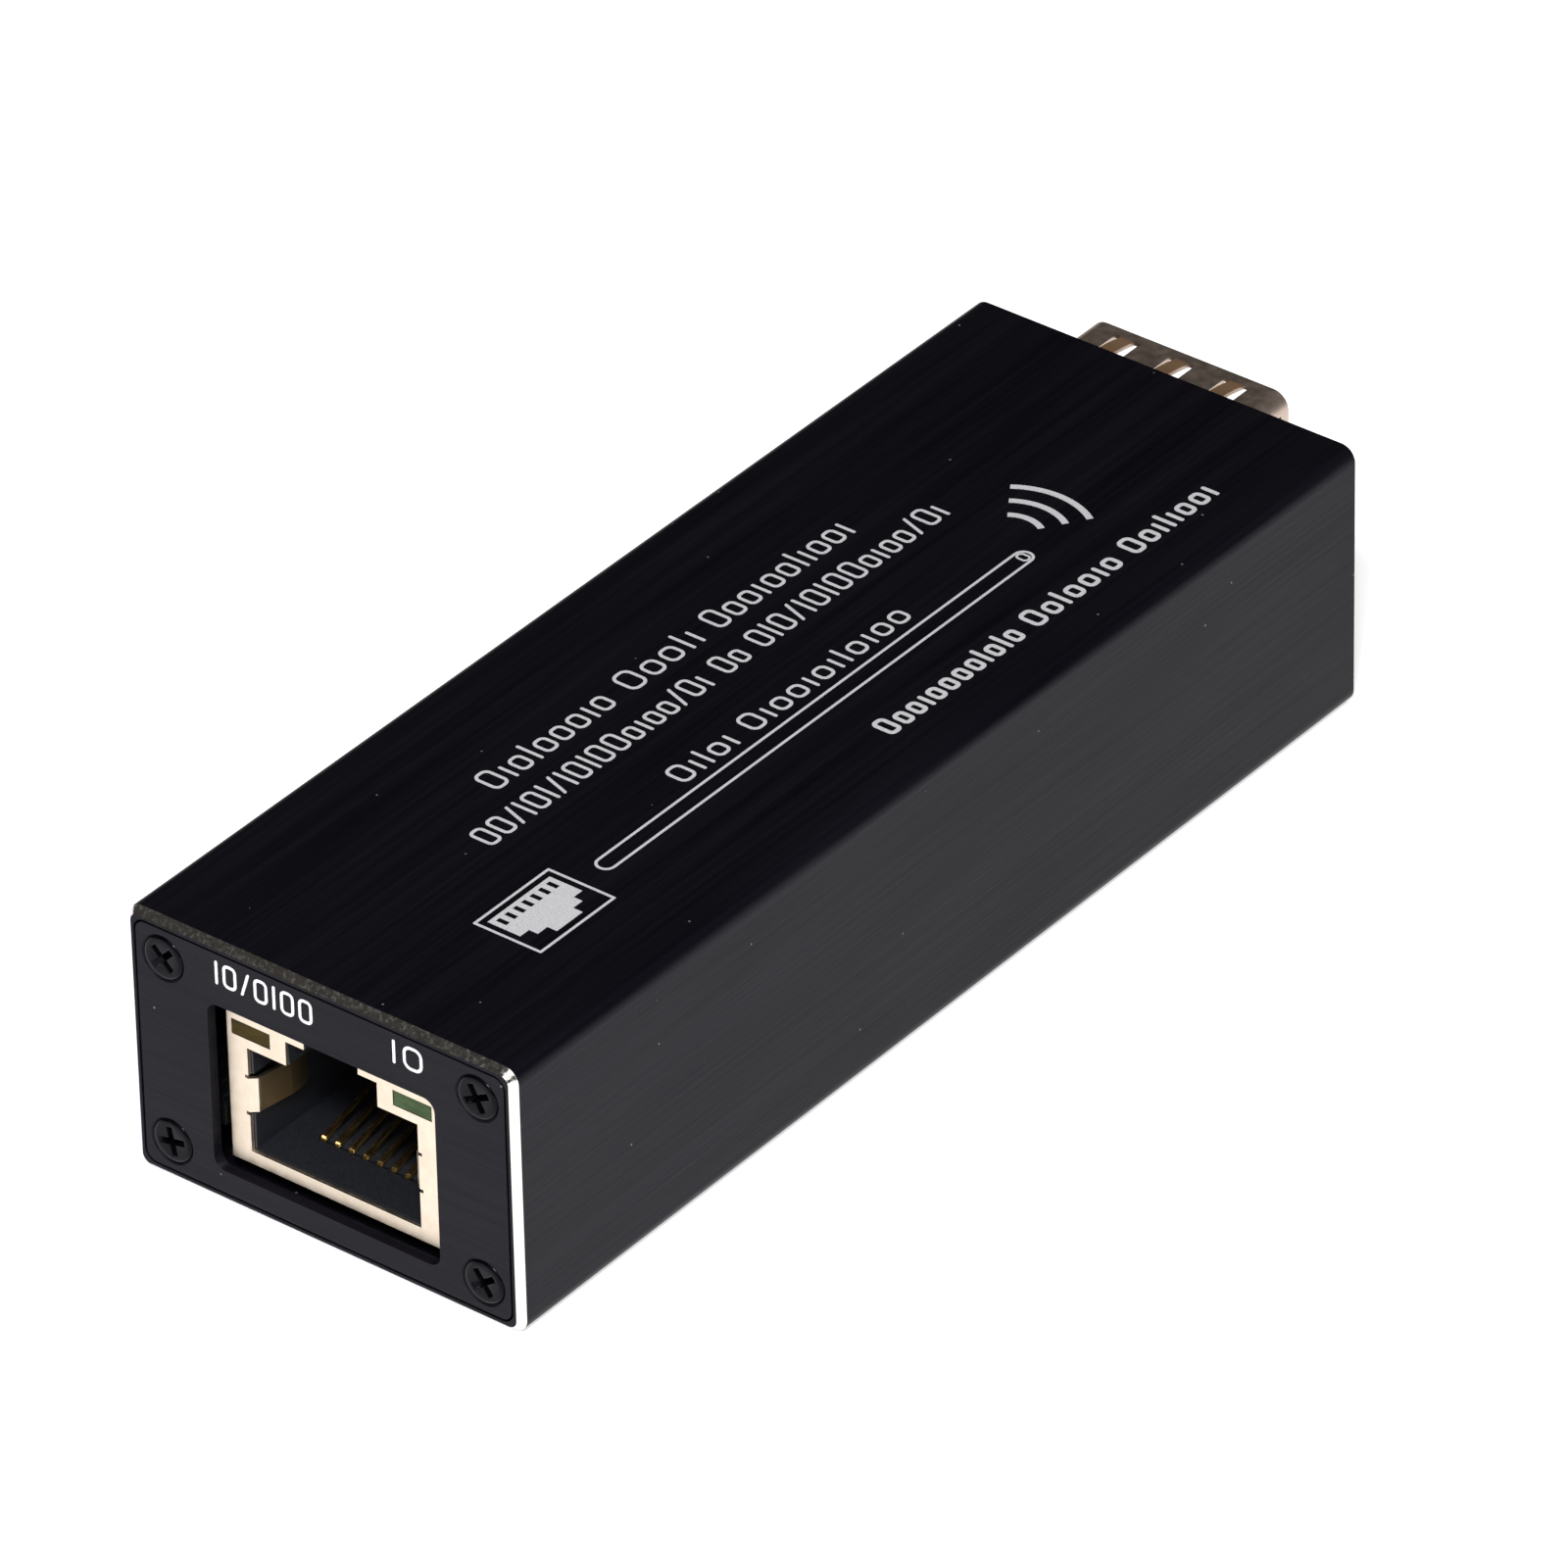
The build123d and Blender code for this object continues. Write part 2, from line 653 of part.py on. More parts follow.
# Cage: a closed nose that carries the fingers, then an upside-down channel over the board, with
# a rear wall, soldered pins and vents. Each finger is cut free on three sides and bowed.
with BuildSketch(section_plane(mouth_y, cage_offset, cage_mid_z)) as cage_ring:
    RectangleRounded(cage_width, cage_height, cage_corner_radius)
    RectangleRounded(
        cage_width - 2 * cage_sheet,
        cage_height - 2 * cage_sheet,
        cage_corner_radius - cage_sheet,
        mode=Mode.SUBTRACT,
    )
with BuildPart() as sfp_cage:
    extrude(cage_ring.sketch, amount=cage_length)
    with BuildSketch(section_plane(cage_rear + cage_sheet, cage_offset, cage_mid_z)):
        RectangleRounded(cage_width, cage_height, cage_corner_radius)
    extrude(amount=cage_sheet)
    with BuildSketch(section_plane(nose_rear, cage_offset, board_top)):
        Rectangle(cage_width, cage_corner_radius, align=(Align.CENTER, Align.MIN))
    extrude(amount=cage_length - cage_nose, mode=Mode.SUBTRACT)
    with BuildSketch(section_plane(nose_rear, cage_offset, board_top)):
        with GridLocations(cage_width - cage_sheet, 0, 2, 1):
            Rectangle(cage_sheet, cage_corner_radius, align=(Align.CENTER, Align.MIN))
    extrude(amount=cage_length - cage_nose)
    with BuildSketch(Plane.XY.offset(board_top)):
        with Locations(*cage_pins):
            Rectangle(cage_sheet, cage_pin_width)
    extrude(amount=-cage_pin_length)
    with BuildSketch(Plane.XY.offset(cage_top)):
        with Locations((cage_offset, mouth_y - vent_start)):
            with GridLocations(vent_pitch, 0, vent_count, 1):
                Rectangle(vent_width, vent_length)
    extrude(amount=cage_sheet, both=True, mode=Mode.SUBTRACT)
    with BuildSketch(Plane.XY.offset(board_top)):
        with Locations((cage_offset, mouth_y - latch_hole_start)):
            Rectangle(
                latch_hole_width,
                latch_hole_length,
                align=(Align.CENTER, Align.MAX),
            )
    extrude(amount=cage_sheet, both=True, mode=Mode.SUBTRACT)
    for place in roof_fingers + floor_fingers + side_fingers:
        with BuildSketch(finger_plane(*place)):
            with Locations((finger_root, 0)):
                Rectangle(
                    finger_length + finger_slit,
                    2 * overrun,
                    align=(Align.MIN, Align.CENTER),
                )
        extrude(amount=finger_reach, both=True, mode=Mode.SUBTRACT)
        with BuildSketch(finger_plane(*place)):
            with BuildLine():
                tip = finger_root + finger_length
                middle = finger_root + finger_length / 2
                ThreePointArc((finger_root, 0), (middle, finger_rise), (tip, 0))
                Line((tip, 0), (tip, -cage_sheet))
                ThreePointArc(
                    (tip, -cage_sheet),
                    (middle, finger_rise - cage_sheet),
                    (finger_root, -cage_sheet),
                )
                Line((finger_root, -cage_sheet), (finger_root, 0))
            make_face()
        extrude(amount=finger_width / 2, both=True)
save(sfp_cage.part, "sfp_cage")

# Floor of the cage: a flat plate on the board between the side walls, behind the nose
host_front = cage_rear + host_back_gap + host_length
with BuildPart() as sfp_cage_floor:
    with BuildSketch(Plane.XY.offset(board_top)):
        with Locations((cage_offset, nose_rear - floor_clearance)):
            Rectangle(
                cage_width - 2 * (cage_sheet + floor_clearance),
                nose_rear - host_front - floor_host_gap,
                align=(Align.CENTER, Align.MAX),
            )
    extrude(amount=cage_sheet)
save(sfp_cage_floor.part, "sfp_cage_floor")

# Host connector: a moulded block with a slot for the edge of the module's card. Each row of
# contacts lies along one face of the slot, runs out through the back and down to the board.
host_rear = host_front - host_length
host_width = cage_width - 2 * (cage_sheet + host_side_gap)
host_row = (host_contact_count - 1) * host_contact_pitch + host_contact_width
slot_mid_z = board_top + card_slot_centre


def host_contact_line(up):
    """Path of a host contact in the Y-Z plane; up is 1 for the upper row and -1 for the lower."""
    arm_z = slot_mid_z + up * (card_slot_height - host_contact_sheet) / 2
    back_y = host_rear - host_contact_clearance - host_contact_sheet / 2
    foot_z = board_top
    step_y = host_row_step * (up + 1) / 2
    return Polyline(
        (host_front - host_contact_inset, arm_z - up * host_contact_clearance),
        (back_y - step_y, arm_z - up * host_contact_clearance),
        (back_y - step_y, foot_z),
    )


with BuildPart() as sfp_host_connector:
    with BuildSketch(section_plane(host_rear, cage_offset, board_top)):
        Rectangle(host_width, host_height, align=(Align.CENTER, Align.MIN))
    extrude(amount=-host_length)
    upper_front = sfp_host_connector.edges().filter_by(Axis.X).group_by(Axis.Z)[-1]
    chamfer(upper_front.sort_by(Axis.Y)[-1], host_chamfer)
    with BuildSketch(section_plane(host_rear, cage_offset, slot_mid_z)):
        Rectangle(host_row + 2 * card_slot_margin, card_slot_height)
    extrude(amount=-(host_length + overrun), mode=Mode.SUBTRACT)
save(sfp_host_connector.part, "sfp_host_connector")


def host_contacts(up):
    """One row of ten host contacts, as separate solids."""
    with BuildPart() as row:
        for number in range(host_contact_count):
            step = number - (host_contact_count - 1) / 2
            with BuildSketch(Plane.YZ.offset(cage_offset + step * host_contact_pitch)):
                with BuildLine():
                    host_contact_line(up)
                trace(line_width=host_contact_sheet)
            extrude(amount=host_contact_width / 2, both=True)
    return row.part


save(host_contacts(1), "sfp_host_contacts_upper")
save(host_contacts(-1), "sfp_host_contacts_lower")

# Power inlet: a moulded block with a round nose in the rear plate, a bore, a centre pin and a
# spring that lies in a slot along the bore's side.
inlet_rear = rear_y - plate_thickness - inlet_plate_gap
inlet_front = inlet_rear - inlet_length
inlet_axis_z = board_top + inlet_axis_height
bore_floor = rear_y - inlet_nose_sunk - inlet_bore_depth
with BuildPart() as power_inlet_body:
    with BuildSketch(section_plane(inlet_rear, inlet_centre, board_top)):
        Rectangle(inlet_width, inlet_height, align=(Align.CENTER, Align.MIN))
    extrude(amount=inlet_length)
    with BuildSketch(section_plane(rear_y - inlet_nose_sunk, inlet_centre, inlet_axis_z)):
        Circle(inlet_nose_diameter / 2)
    extrude(amount=inlet_length - inlet_nose_sunk)
    with BuildSketch(section_plane(rear_y, inlet_centre, inlet_axis_z)):
        Circle(inlet_bore_diameter / 2)
    extrude(amount=rear_y - bore_floor, mode=Mode.SUBTRACT)
    with BuildSketch(section_plane(bore_floor, inlet_centre, inlet_axis_z)):
        Rectangle(
            inlet_pin_tail_width + 2 * inlet_pin_clearance,
            inlet_pin_tail_width + 2 * inlet_pin_clearance,
        )
    extrude(amount=bore_floor - inlet_front, mode=Mode.SUBTRACT)
    with BuildSketch(section_plane(bore_floor + spring_length, inlet_centre, board_top)):
        Rectangle(
            spring_width + 2 * spring_clearance,
            inlet_axis_height - inlet_bore_diameter / 2 + spring_bow,
            align=(Align.CENTER, Align.MIN),
        )
    extrude(amount=spring_length, mode=Mode.SUBTRACT)
save(power_inlet_body.part, "power_inlet_body")

pin_root = inlet_front - inlet_pin_tail
with BuildPart() as power_inlet_pin:
    with BuildSketch(section_plane(bore_floor + inlet_pin_length, inlet_centre, inlet_axis_z)):
        Circle(inlet_pin_diameter / 2)
    extrude(amount=inlet_pin_length)
    with BuildSketch(section_plane(bore_floor, inlet_centre, inlet_axis_z)):
        Rectangle(inlet_pin_tail_width, inlet_pin_tail_width)
    extrude(amount=bore_floor - pin_root)
    with BuildSketch(Plane.XY.offset(inlet_axis_z)):
        with Locations((inlet_centre, pin_root)):
            Rectangle(inlet_pin_tail_width, inlet_pin_tail, align=(Align.CENTER, Align.MIN))
    extrude(amount=-(inlet_axis_height + board_thickness))
save(power_inlet_pin.part, "power_inlet_pin")

# The spring: a strip on the board that bows up into the bore and ends in a pin through the board
with BuildPart() as power_inlet_spring:
    with BuildSketch(Plane.YZ.offset(inlet_centre)):
        with BuildLine():
            strip_z = board_top + spring_sheet / 2
            bow_z = inlet_axis_z - inlet_bore_diameter / 2 + spring_bow - spring_sheet
            Polyline(
                (bore_floor + spring_clearance + spring_sheet / 2, board_bottom),
                (bore_floor + spring_clearance + spring_sheet / 2, strip_z),
                (bore_floor + spring_length / 2, bow_z),
                (bore_floor + spring_length - spring_clearance - spring_sheet, strip_z),
            )
        trace(line_width=spring_sheet)
    extrude(amount=spring_width / 2, both=True)
save(power_inlet_spring.part, "power_inlet_spring")

# Circuit board: it slides in the side grooves, with a notch for the socket at the front and one
# for the cage's nose at the back, and slots for the flat pins that go through it.
board_front = front_y + plate_thickness + board_end_gap
board_rear = rear_y - plate_thickness - board_end_gap
spring_foot_y = bore_floor + spring_clearance + spring_sheet / 2
board_slots = (
    (cage_pins, cage_sheet, cage_pin_width),
    ([(math.copysign(leg_x, x), y) for x, y in ear_places], shield_sheet, ear_leg),
    ([(inlet_centre, pin_root + inlet_pin_tail / 2)], inlet_pin_tail_width, inlet_pin_tail),
    ([(inlet_centre, spring_foot_y)], spring_width, spring_sheet),
)
with BuildPart() as circuit_board:
    with BuildSketch(Plane.XY.offset(board_bottom)):
        with Locations((0, board_front)):
            Rectangle(
                inner_width - 2 * board_side_gap,
                board_rear - board_front,
                align=(Align.CENTER, Align.MIN),
            )
            Rectangle(
                jack_width + 2 * jack_board_gap,
                jack_rear + jack_board_gap - board_front,
                align=(Align.CENTER, Align.MIN),
                mode=Mode.SUBTRACT,
            )
        with Locations((cage_offset, board_rear)):
            Rectangle(
                cage_width + 2 * (finger_rise + nose_notch_gap),
                board_rear - nose_rear + nose_notch_gap,
                align=(Align.CENTER, Align.MAX),
                mode=Mode.SUBTRACT,
            )
        for places, width, length in board_slots:
            with Locations(*places):
                Rectangle(width + 2 * pin_hole_gap, length + 2 * pin_hole_gap, mode=Mode.SUBTRACT)
    extrude(amount=board_thickness)
save(circuit_board.part, "circuit_board")


def moulded_block(x, y, width, length, height, standoff=0, below=False):
    """A moulded package on the board, with bevelled upper edges; below puts it underneath."""
    seat = Plane.XY.offset(board_top + standoff)
    if below:
        seat = Plane(origin=(0, 0, board_bottom - standoff), x_dir=(-1, 0, 0), z_dir=(0, 0, -1))
        x = -x
    with BuildPart() as block:
        with BuildSketch(seat):
            with Locations((x, y)):
                Rectangle(width, length)
        extrude(amount=height)
        far_face = block.faces().sort_by(Axis.Z)[0 if below else -1]
        chamfer(far_face.edges(), chip_bevel)
    return block.part


def lead_rows(x, y, body_length, rise, count, pitch, below=False):
    """Two rows of leads, down the front and back sides of a package and out along the board."""
    up = -1 if below else 1
    surface = board_bottom if below else board_top
    with BuildPart() as rows:
        for number in range(count):
            column = x + (number - (count - 1) / 2) * pitch
            for side in (-1, 1):
                side_y = y + side * (body_length + lead_sheet) / 2
                foot_z = surface + up * lead_sheet / 2
                with BuildSketch(Plane.YZ.offset(column)):
                    with BuildLine():
                        Polyline(
                            (side_y, surface + up * rise),
                            (side_y, foot_z),
                            (side_y + side * (lead_reach - lead_sheet / 2), foot_z),
                        )
                    trace(line_width=lead_sheet)
                extrude(amount=lead_width / 2, both=True)
    return rows.part


transformer_y = cage_rear - transformer_back_gap - lead_reach - transformer_length / 2
transformer = moulded_block(
    0,
    transformer_y,
    transformer_width,
    transformer_length,
    transformer_height,
    standoff=lead_standoff,
)
save(transformer, "line_transformer")
transformer_leads = lead_rows(
    0,
    transformer_y,
    transformer_length,
    transformer_lead_rise,
    transformer_lead_count,
    transformer_lead_pitch,
)
save(transformer_leads, "line_transformer_leads")

# Under the board, below the cage: the converter chip, and the memory chip in front of it
converter_y = mouth_y - converter_chip_back
converter_chip = moulded_block(
    cage_offset,
    converter_y,
    converter_chip_side,
    converter_chip_side,
    converter_chip_height,
    below=True,
)
save(converter_chip, "converter_chip")
memory_y = converter_y - (converter_chip_side + memory_chip_width) / 2 - memory_gap
memory_chip = moulded_block(
    cage_offset,
    memory_y,
    memory_chip_length,
    memory_chip_width,
    memory_chip_height,
    standoff=lead_standoff,
    below=True,
)
save(memory_chip, "memory_chip")
memory_leads = lead_rows(
    cage_offset,
    memory_y,
    memory_chip_width,
    memory_lead_rise,
    memory_lead_count,
    memory_lead_pitch,
    below=True,
)
save(memory_leads, "memory_chip_leads")

# On the strip beside the cage, from the inlet forwards: surge diode, fuse, capacitor, inductor
# and regulator, spread evenly over the strip from the inlet's pin to the transformer.
surge_span = surge_length + 2 * surge_terminal
strip_lengths = (surge_span, fuse_length, can_diameter, inductor_side, regulator_side)
strip_room = pin_root - cage_rear + transformer_back_gap
strip_gap = (strip_room - sum(strip_lengths)) / (len(strip_lengths) + 1)
strip_ys = []
strip_end = pin_root
for length in strip_lengths:
    strip_ys.append(strip_end - strip_gap - length / 2)
    strip_end = strip_end - strip_gap - length
surge_y, fuse_y, can_y, inductor_y, regulator_y = strip_ys

with BuildPart() as surge_diode:
    add(moulded_block(strip_x, surge_y, surge_width, surge_length, surge_height))
    with BuildSketch(Plane.XY.offset(board_top)):
        with Locations((strip_x, surge_y)):
            Rectangle(surge_width / 2, surge_span)
    extrude(amount=surge_height / 2)
save(surge_diode.part, "surge_diode")

with BuildPart() as resettable_fuse:
    with BuildSketch(Plane.XY.offset(board_top)):
        with Locations((strip_x, fuse_y)):
            Rectangle(fuse_width, fuse_length)
            with GridLocations(fuse_width, fuse_length, 2, 2):
                Rectangle(fuse_notch, fuse_notch, mode=Mode.SUBTRACT)
    extrude(amount=fuse_height)
save(resettable_fuse.part, "resettable_fuse")

with BuildPart() as input_capacitor_base:
    with BuildSketch(Plane.XY.offset(board_top)) as base_outline:
        with Locations((strip_x, can_y)):
            Rectangle(can_diameter, can_diameter)
        chamfer(base_outline.vertices().group_by(Axis.Y)[0], can_base_chamfer)
    extrude(amount=can_base_height)
save(input_capacitor_base.part, "input_capacitor_base")

with BuildPart() as input_capacitor_can:
    with BuildSketch(Plane.XY.offset(board_top + can_base_height)):
        with Locations((strip_x, can_y)):
            Circle(can_diameter / 2)
    extrude(amount=can_height - can_base_height)
save(input_capacitor_can.part, "input_capacitor_can")

with BuildPart() as power_inductor:
    with BuildSketch(Plane.XY.offset(board_top)) as ferrite_outline:
        with Locations((strip_x, inductor_y)):
            Rectangle(inductor_side, inductor_side)
        chamfer(ferrite_outline.vertices(), inductor_corner)
    extrude(amount=inductor_height)
save(power_inductor.part, "power_inductor")

regulator_chip = moulded_block(
    strip_x, regulator_y, regulator_side, regulator_side, regulator_height
)
save(regulator_chip, "regulator_chip")

# On the narrow strip at the other side of the cage: the crystal and a row of resistors
side_x = (cage_offset - cage_side - inner_width / 2 + rib_depth) / 2
with BuildPart() as crystal:
    with BuildSketch(Plane.XY.offset(board_top)) as crystal_outline:
        with Locations((side_x, converter_y)):
            Rectangle(crystal_width, crystal_length)
        chamfer(crystal_outline.vertices(), crystal_cut)
    extrude(amount=crystal_height)
    chamfer(crystal.edges().group_by(Axis.Z)[-1], crystal_cut / 2)
save(crystal.part, "crystal")

resistor_row_y = converter_y - crystal_length - resistor_count * small_part_pitch / 2
with BuildPart() as chip_resistors:
    with BuildSketch(Plane.XY.offset(board_top)):
        with Locations((side_x, resistor_row_y)):
            with GridLocations(0, small_part_pitch, 1, resistor_count):
                Rectangle(resistor_length, resistor_width)
    extrude(amount=resistor_height)
save(chip_resistors.part, "chip_resistors")

# Ceramic capacitors in a row on each side of the converter chip, under the board
capacitor_x = converter_chip_side / 2 + capacitor_gap
with BuildPart() as ceramic_capacitors:
    with BuildSketch(Plane.XY.offset(board_bottom)):
        with Locations((cage_offset, converter_y)):
            with GridLocations(2 * capacitor_x, small_part_pitch, 2, capacitor_count):
                Rectangle(capacitor_width, capacitor_length)
    extrude(amount=-capacitor_height)
save(ceramic_capacitors.part, "ceramic_capacitors")
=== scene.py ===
# %% [markdown]
# A slim fibre media converter
# The object is a small black box that links a copper network cable to a glass fibre. A drawn
# aluminium tube is closed by two screwed plates. One end holds a socket in a nickel shield, and
# a sprung cage for a fibre module stands out of the other. The solids come ready made, so this
# file gives them their finishes, and adds what is too fine for them: the cross recesses and
# threads of the screws, the rounded bends of the contacts, and the print.

# %% Load the solids
import math

import bmesh
import bpy
from mathutils import Matrix, Vector


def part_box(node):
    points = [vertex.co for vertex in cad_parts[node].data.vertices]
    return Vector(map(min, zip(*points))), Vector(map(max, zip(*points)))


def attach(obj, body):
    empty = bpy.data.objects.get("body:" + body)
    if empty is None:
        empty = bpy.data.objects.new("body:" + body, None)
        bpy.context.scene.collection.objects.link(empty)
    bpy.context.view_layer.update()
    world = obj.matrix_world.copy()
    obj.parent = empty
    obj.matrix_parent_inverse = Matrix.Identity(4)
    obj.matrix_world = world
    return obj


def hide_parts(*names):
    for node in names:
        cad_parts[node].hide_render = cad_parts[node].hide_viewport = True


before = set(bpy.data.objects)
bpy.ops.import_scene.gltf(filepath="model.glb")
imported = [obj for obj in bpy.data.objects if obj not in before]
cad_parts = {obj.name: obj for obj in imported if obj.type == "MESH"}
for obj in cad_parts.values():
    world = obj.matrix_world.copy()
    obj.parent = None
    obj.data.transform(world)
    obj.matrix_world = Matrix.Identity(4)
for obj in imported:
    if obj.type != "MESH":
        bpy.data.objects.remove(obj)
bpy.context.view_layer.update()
MM = 0.001


def box_mm(node):
    """Lowest and highest corner of one solid, in millimetres."""
    low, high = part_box(node)
    return low / MM, high / MM


case_low, case_high = box_mm("case_tube")
print("solids:", len(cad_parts), "case in mm:", [round(v, 2) for v in case_high - case_low])

# %% [markdown]
# The camera
# A product photographer steps back with a long lens, so that the edges of a small box stay
# nearly parallel. The lens here has the narrow view of such a picture, and it looks down from
# the right of the socket end. The turn, the tilt and the distance were found by fitting the
# edges of a plain box to those in the picture, and two small shifts slide the view into place.
# One matrix with the camera's right, up and back directions as its columns says where it looks,
# which is easier to check than three turns in a row.

# %% Place the camera
TURN = math.radians(38.62)
TILT = math.radians(34.27)
ROLL = math.radians(-1.24)
LENS_MM = 318.5
SENSOR_MM = 36.0
DISTANCE = 799.0
NEAREST = 0.01
FARTHEST = 20.0
AIM = Vector((0.0, -2.45, 9.0))
SHIFT_RIGHT = 1.575
SHIFT_UP = 0.93

back = Vector((math.sin(TURN) * math.cos(TILT), -math.cos(TURN) * math.cos(TILT), math.sin(TILT)))
level = Vector((math.cos(TURN), math.sin(TURN), 0.0))
upright = back.cross(level)
right = level * math.cos(ROLL) + upright * math.sin(ROLL)
up = upright * math.cos(ROLL) - level * math.sin(ROLL)
eye = AIM + back * DISTANCE + right * SHIFT_RIGHT + up * SHIFT_UP

lens = bpy.data.cameras.new("studio_camera")
lens.lens = LENS_MM
lens.sensor_width = SENSOR_MM
lens.clip_start = NEAREST
lens.clip_end = FARTHEST
camera = bpy.data.objects.new("studio_camera", lens)
camera.matrix_world = Matrix.Translation(eye * MM) @ Matrix((right, up, back)).transposed().to_4x4()
bpy.context.scene.collection.objects.link(camera)
bpy.context.scene.camera = camera
print("camera in mm:", [round(v, 1) for v in eye])

# %% [markdown]
# The studio
# Black metal shows little but what it reflects. The sides of the box mirror the floor, so they
# read as dark grey beside a white table, while the top mirrors the room behind it and stays
# nearly black. So the room is dark, and the light comes from a wide soft panel overhead and a
# small square lamp near the camera, which puts the glints on the screws. The panel hangs towards
# the right and the front, away from what the top mirrors. The plain view transform keeps white
# as white, which a filmic one would turn to pale grey.

# %% Light the studio
PANEL_PLACE = (0.30, -0.34, 0.58)
PANEL_SIZE = 0.9
PANEL_WATTS = 3.8
LAMP_PLACE = (0.30, -0.46, 0.62)
LAMP_SIZE = 0.14
LAMP_WATTS = 4.5
ROOM_TINT = (1.0, 0.93, 0.86, 1.0)
ROOM_LIGHT = 0.045


def soft_light(name, place, size, watts):
    """One square soft light at place, in metres, turned to the box."""
    data = bpy.data.lights.new(name, "AREA")
    data.size = size
    data.energy = watts
    light = bpy.data.objects.new(name, data)
    light.location = place
    light.rotation_mode = "QUATERNION"
    light.rotation_quaternion = (-Vector(place)).to_track_quat("-Z", "Y")
    bpy.context.scene.collection.objects.link(light)


soft_light("overhead_panel", PANEL_PLACE, PANEL_SIZE, PANEL_WATTS)
soft_light("camera_lamp", LAMP_PLACE, LAMP_SIZE, LAMP_WATTS)
world = bpy.data.worlds.new("dim_room")
world.use_nodes = True
dark_room = world.node_tree.nodes["Background"]
dark_room.inputs["Color"].default_value = ROOM_TINT
dark_room.inputs["Strength"].default_value = ROOM_LIGHT
bpy.context.scene.world = world
bpy.context.scene.view_settings.view_transform = "Standard"

# %% [markdown]
# Colours and nodes
# A finish is a small network of nodes. Its colours are picked on a screen as sRGB hex values,
# but a shader adds light in linear numbers, so one function turns the first into the second.
# Another adds a node, sets it and links it in one call, which keeps each finish short enough to
# read at a glance. Sockets that share a name are told apart by number: a mix node takes its two
# numbers at 2 and 3 and its two colours at 6 and 7, and a map range node takes its old span at
# 1 and 2 and its new one at 3 and 4. A noise pattern keeps near its middle, so its usual span is
# stretched to run from 0 to 1, and both tones of a finish are seen.

# %% Helpers for finishes
NOISE_SPAN = (0.3, 0.7)


def linear(colour):
    """The linear colour of an sRGB hex value."""
    shares = [int(colour[i:i + 2], 16) / 255 for i in (1, 3, 5)]
    return [s / 12.92 if s <= 0.04045 else ((s + 0.055) / 1.055) ** 2.4 for s in shares] + [1.0]


def add(tree, kind, inputs=None, **settings):
    """Adds a node: settings go on the node, and an input takes a number or another's socket."""
    node = tree.nodes.new("ShaderNode" + kind)
    for name, value in settings.items():
        setattr(node, name, value)
    for name, value in (inputs or {}).items():
        if isinstance(value, bpy.types.NodeSocket):
            tree.links.new(value, node.inputs[name])
        else:
            node.inputs[name].default_value = value
    return node


def new_finish(name, numbers):
    """A material with its shader's own numbers set: the material, its tree and its shader."""
    material = bpy.data.materials.new(name)
    material.use_nodes = True
    shader = material.node_tree.nodes["Principled BSDF"]
    for socket, value in numbers.items():
        shader.inputs[socket].default_value = value
    return material, material.node_tree, shader


def grain(tree, size_mm, detail=3.0):
    """A cloudy pattern from 0 to 1, whose grains measure size_mm along X, Y and Z."""
    place = add(tree, "TexCoord").outputs["Object"]
    scale = [1 / (size * MM) for size in size_mm]
    sized = add(tree, "Mapping", {"Vector": place, "Scale": scale}).outputs["Vector"]
    cloud = add(tree, "TexNoise", {"Vector": sized, "Scale": 1.0, "Detail": detail})
    stretched = add(tree, "MapRange", {"Value": cloud.outputs[0], 1: NOISE_SPAN[0], 2: NOISE_SPAN[1]})
    return stretched.outputs["Result"]


def two_tone(tree, share, first, second):
    """A colour that goes from first to second, both hex values or sockets, with share."""
    ends = [linear(c) if isinstance(c, str) else c for c in (first, second)]
    return add(tree, "Mix", {0: share, 6: ends[0], 7: ends[1]}, data_type="RGBA").outputs[2]


def worked_finish(name, size_mm, colours, roughness, relief_mm, numbers=None, detail=3.0):
    """A finish whose grain shifts the colour, the roughness and the height together."""
    material, tree, shader = new_finish(name, numbers or {})
    share = grain(tree, size_mm, detail)
    rough = add(tree, "MapRange", {"Value": share, 3: roughness[0], 4: roughness[1]})
    relief = add(tree, "Bump", {"Height": share, "Distance": relief_mm * MM})
    tree.links.new(two_tone(tree, share, *colours), shader.inputs["Base Color"])
    tree.links.new(rough.outputs["Result"], shader.inputs["Roughness"])
    tree.links.new(relief.outputs["Normal"], shader.inputs["Normal"])
    return material


def dress(material, *nodes):
    """Gives a finish to solids."""
    for node in nodes:
        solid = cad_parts[node]
        solid.data.materials.clear()
        solid.data.materials.append(material)
    print(material.name, "on", ", ".join(nodes))


print("mid grey in linear light:", [round(v, 3) for v in linear("#808080")])

# %% [markdown]
# Black anodised aluminium
# The tube is brushed along its length, and the plates across, then both are dyed black in the
# anodising bath. The clear oxide over the dye mirrors light as glass does, weakly and with a
# faint violet tint, so the finish isn't set as a metal. Real brush lines are finer than a tenth
# of a millimetre. They are drawn about three times as wide, so that they show, and mixed with
# broader lines like those that a drawing die leaves. Handling leaves patches that are a little
# duller, and a few grains of dust. The two ends are cut after the bath, and the small chamfers
# round them are bare metal, bright between the marks of the cutter. They are found by their
# slope, because only a chamfer leans halfway towards the length of the box.

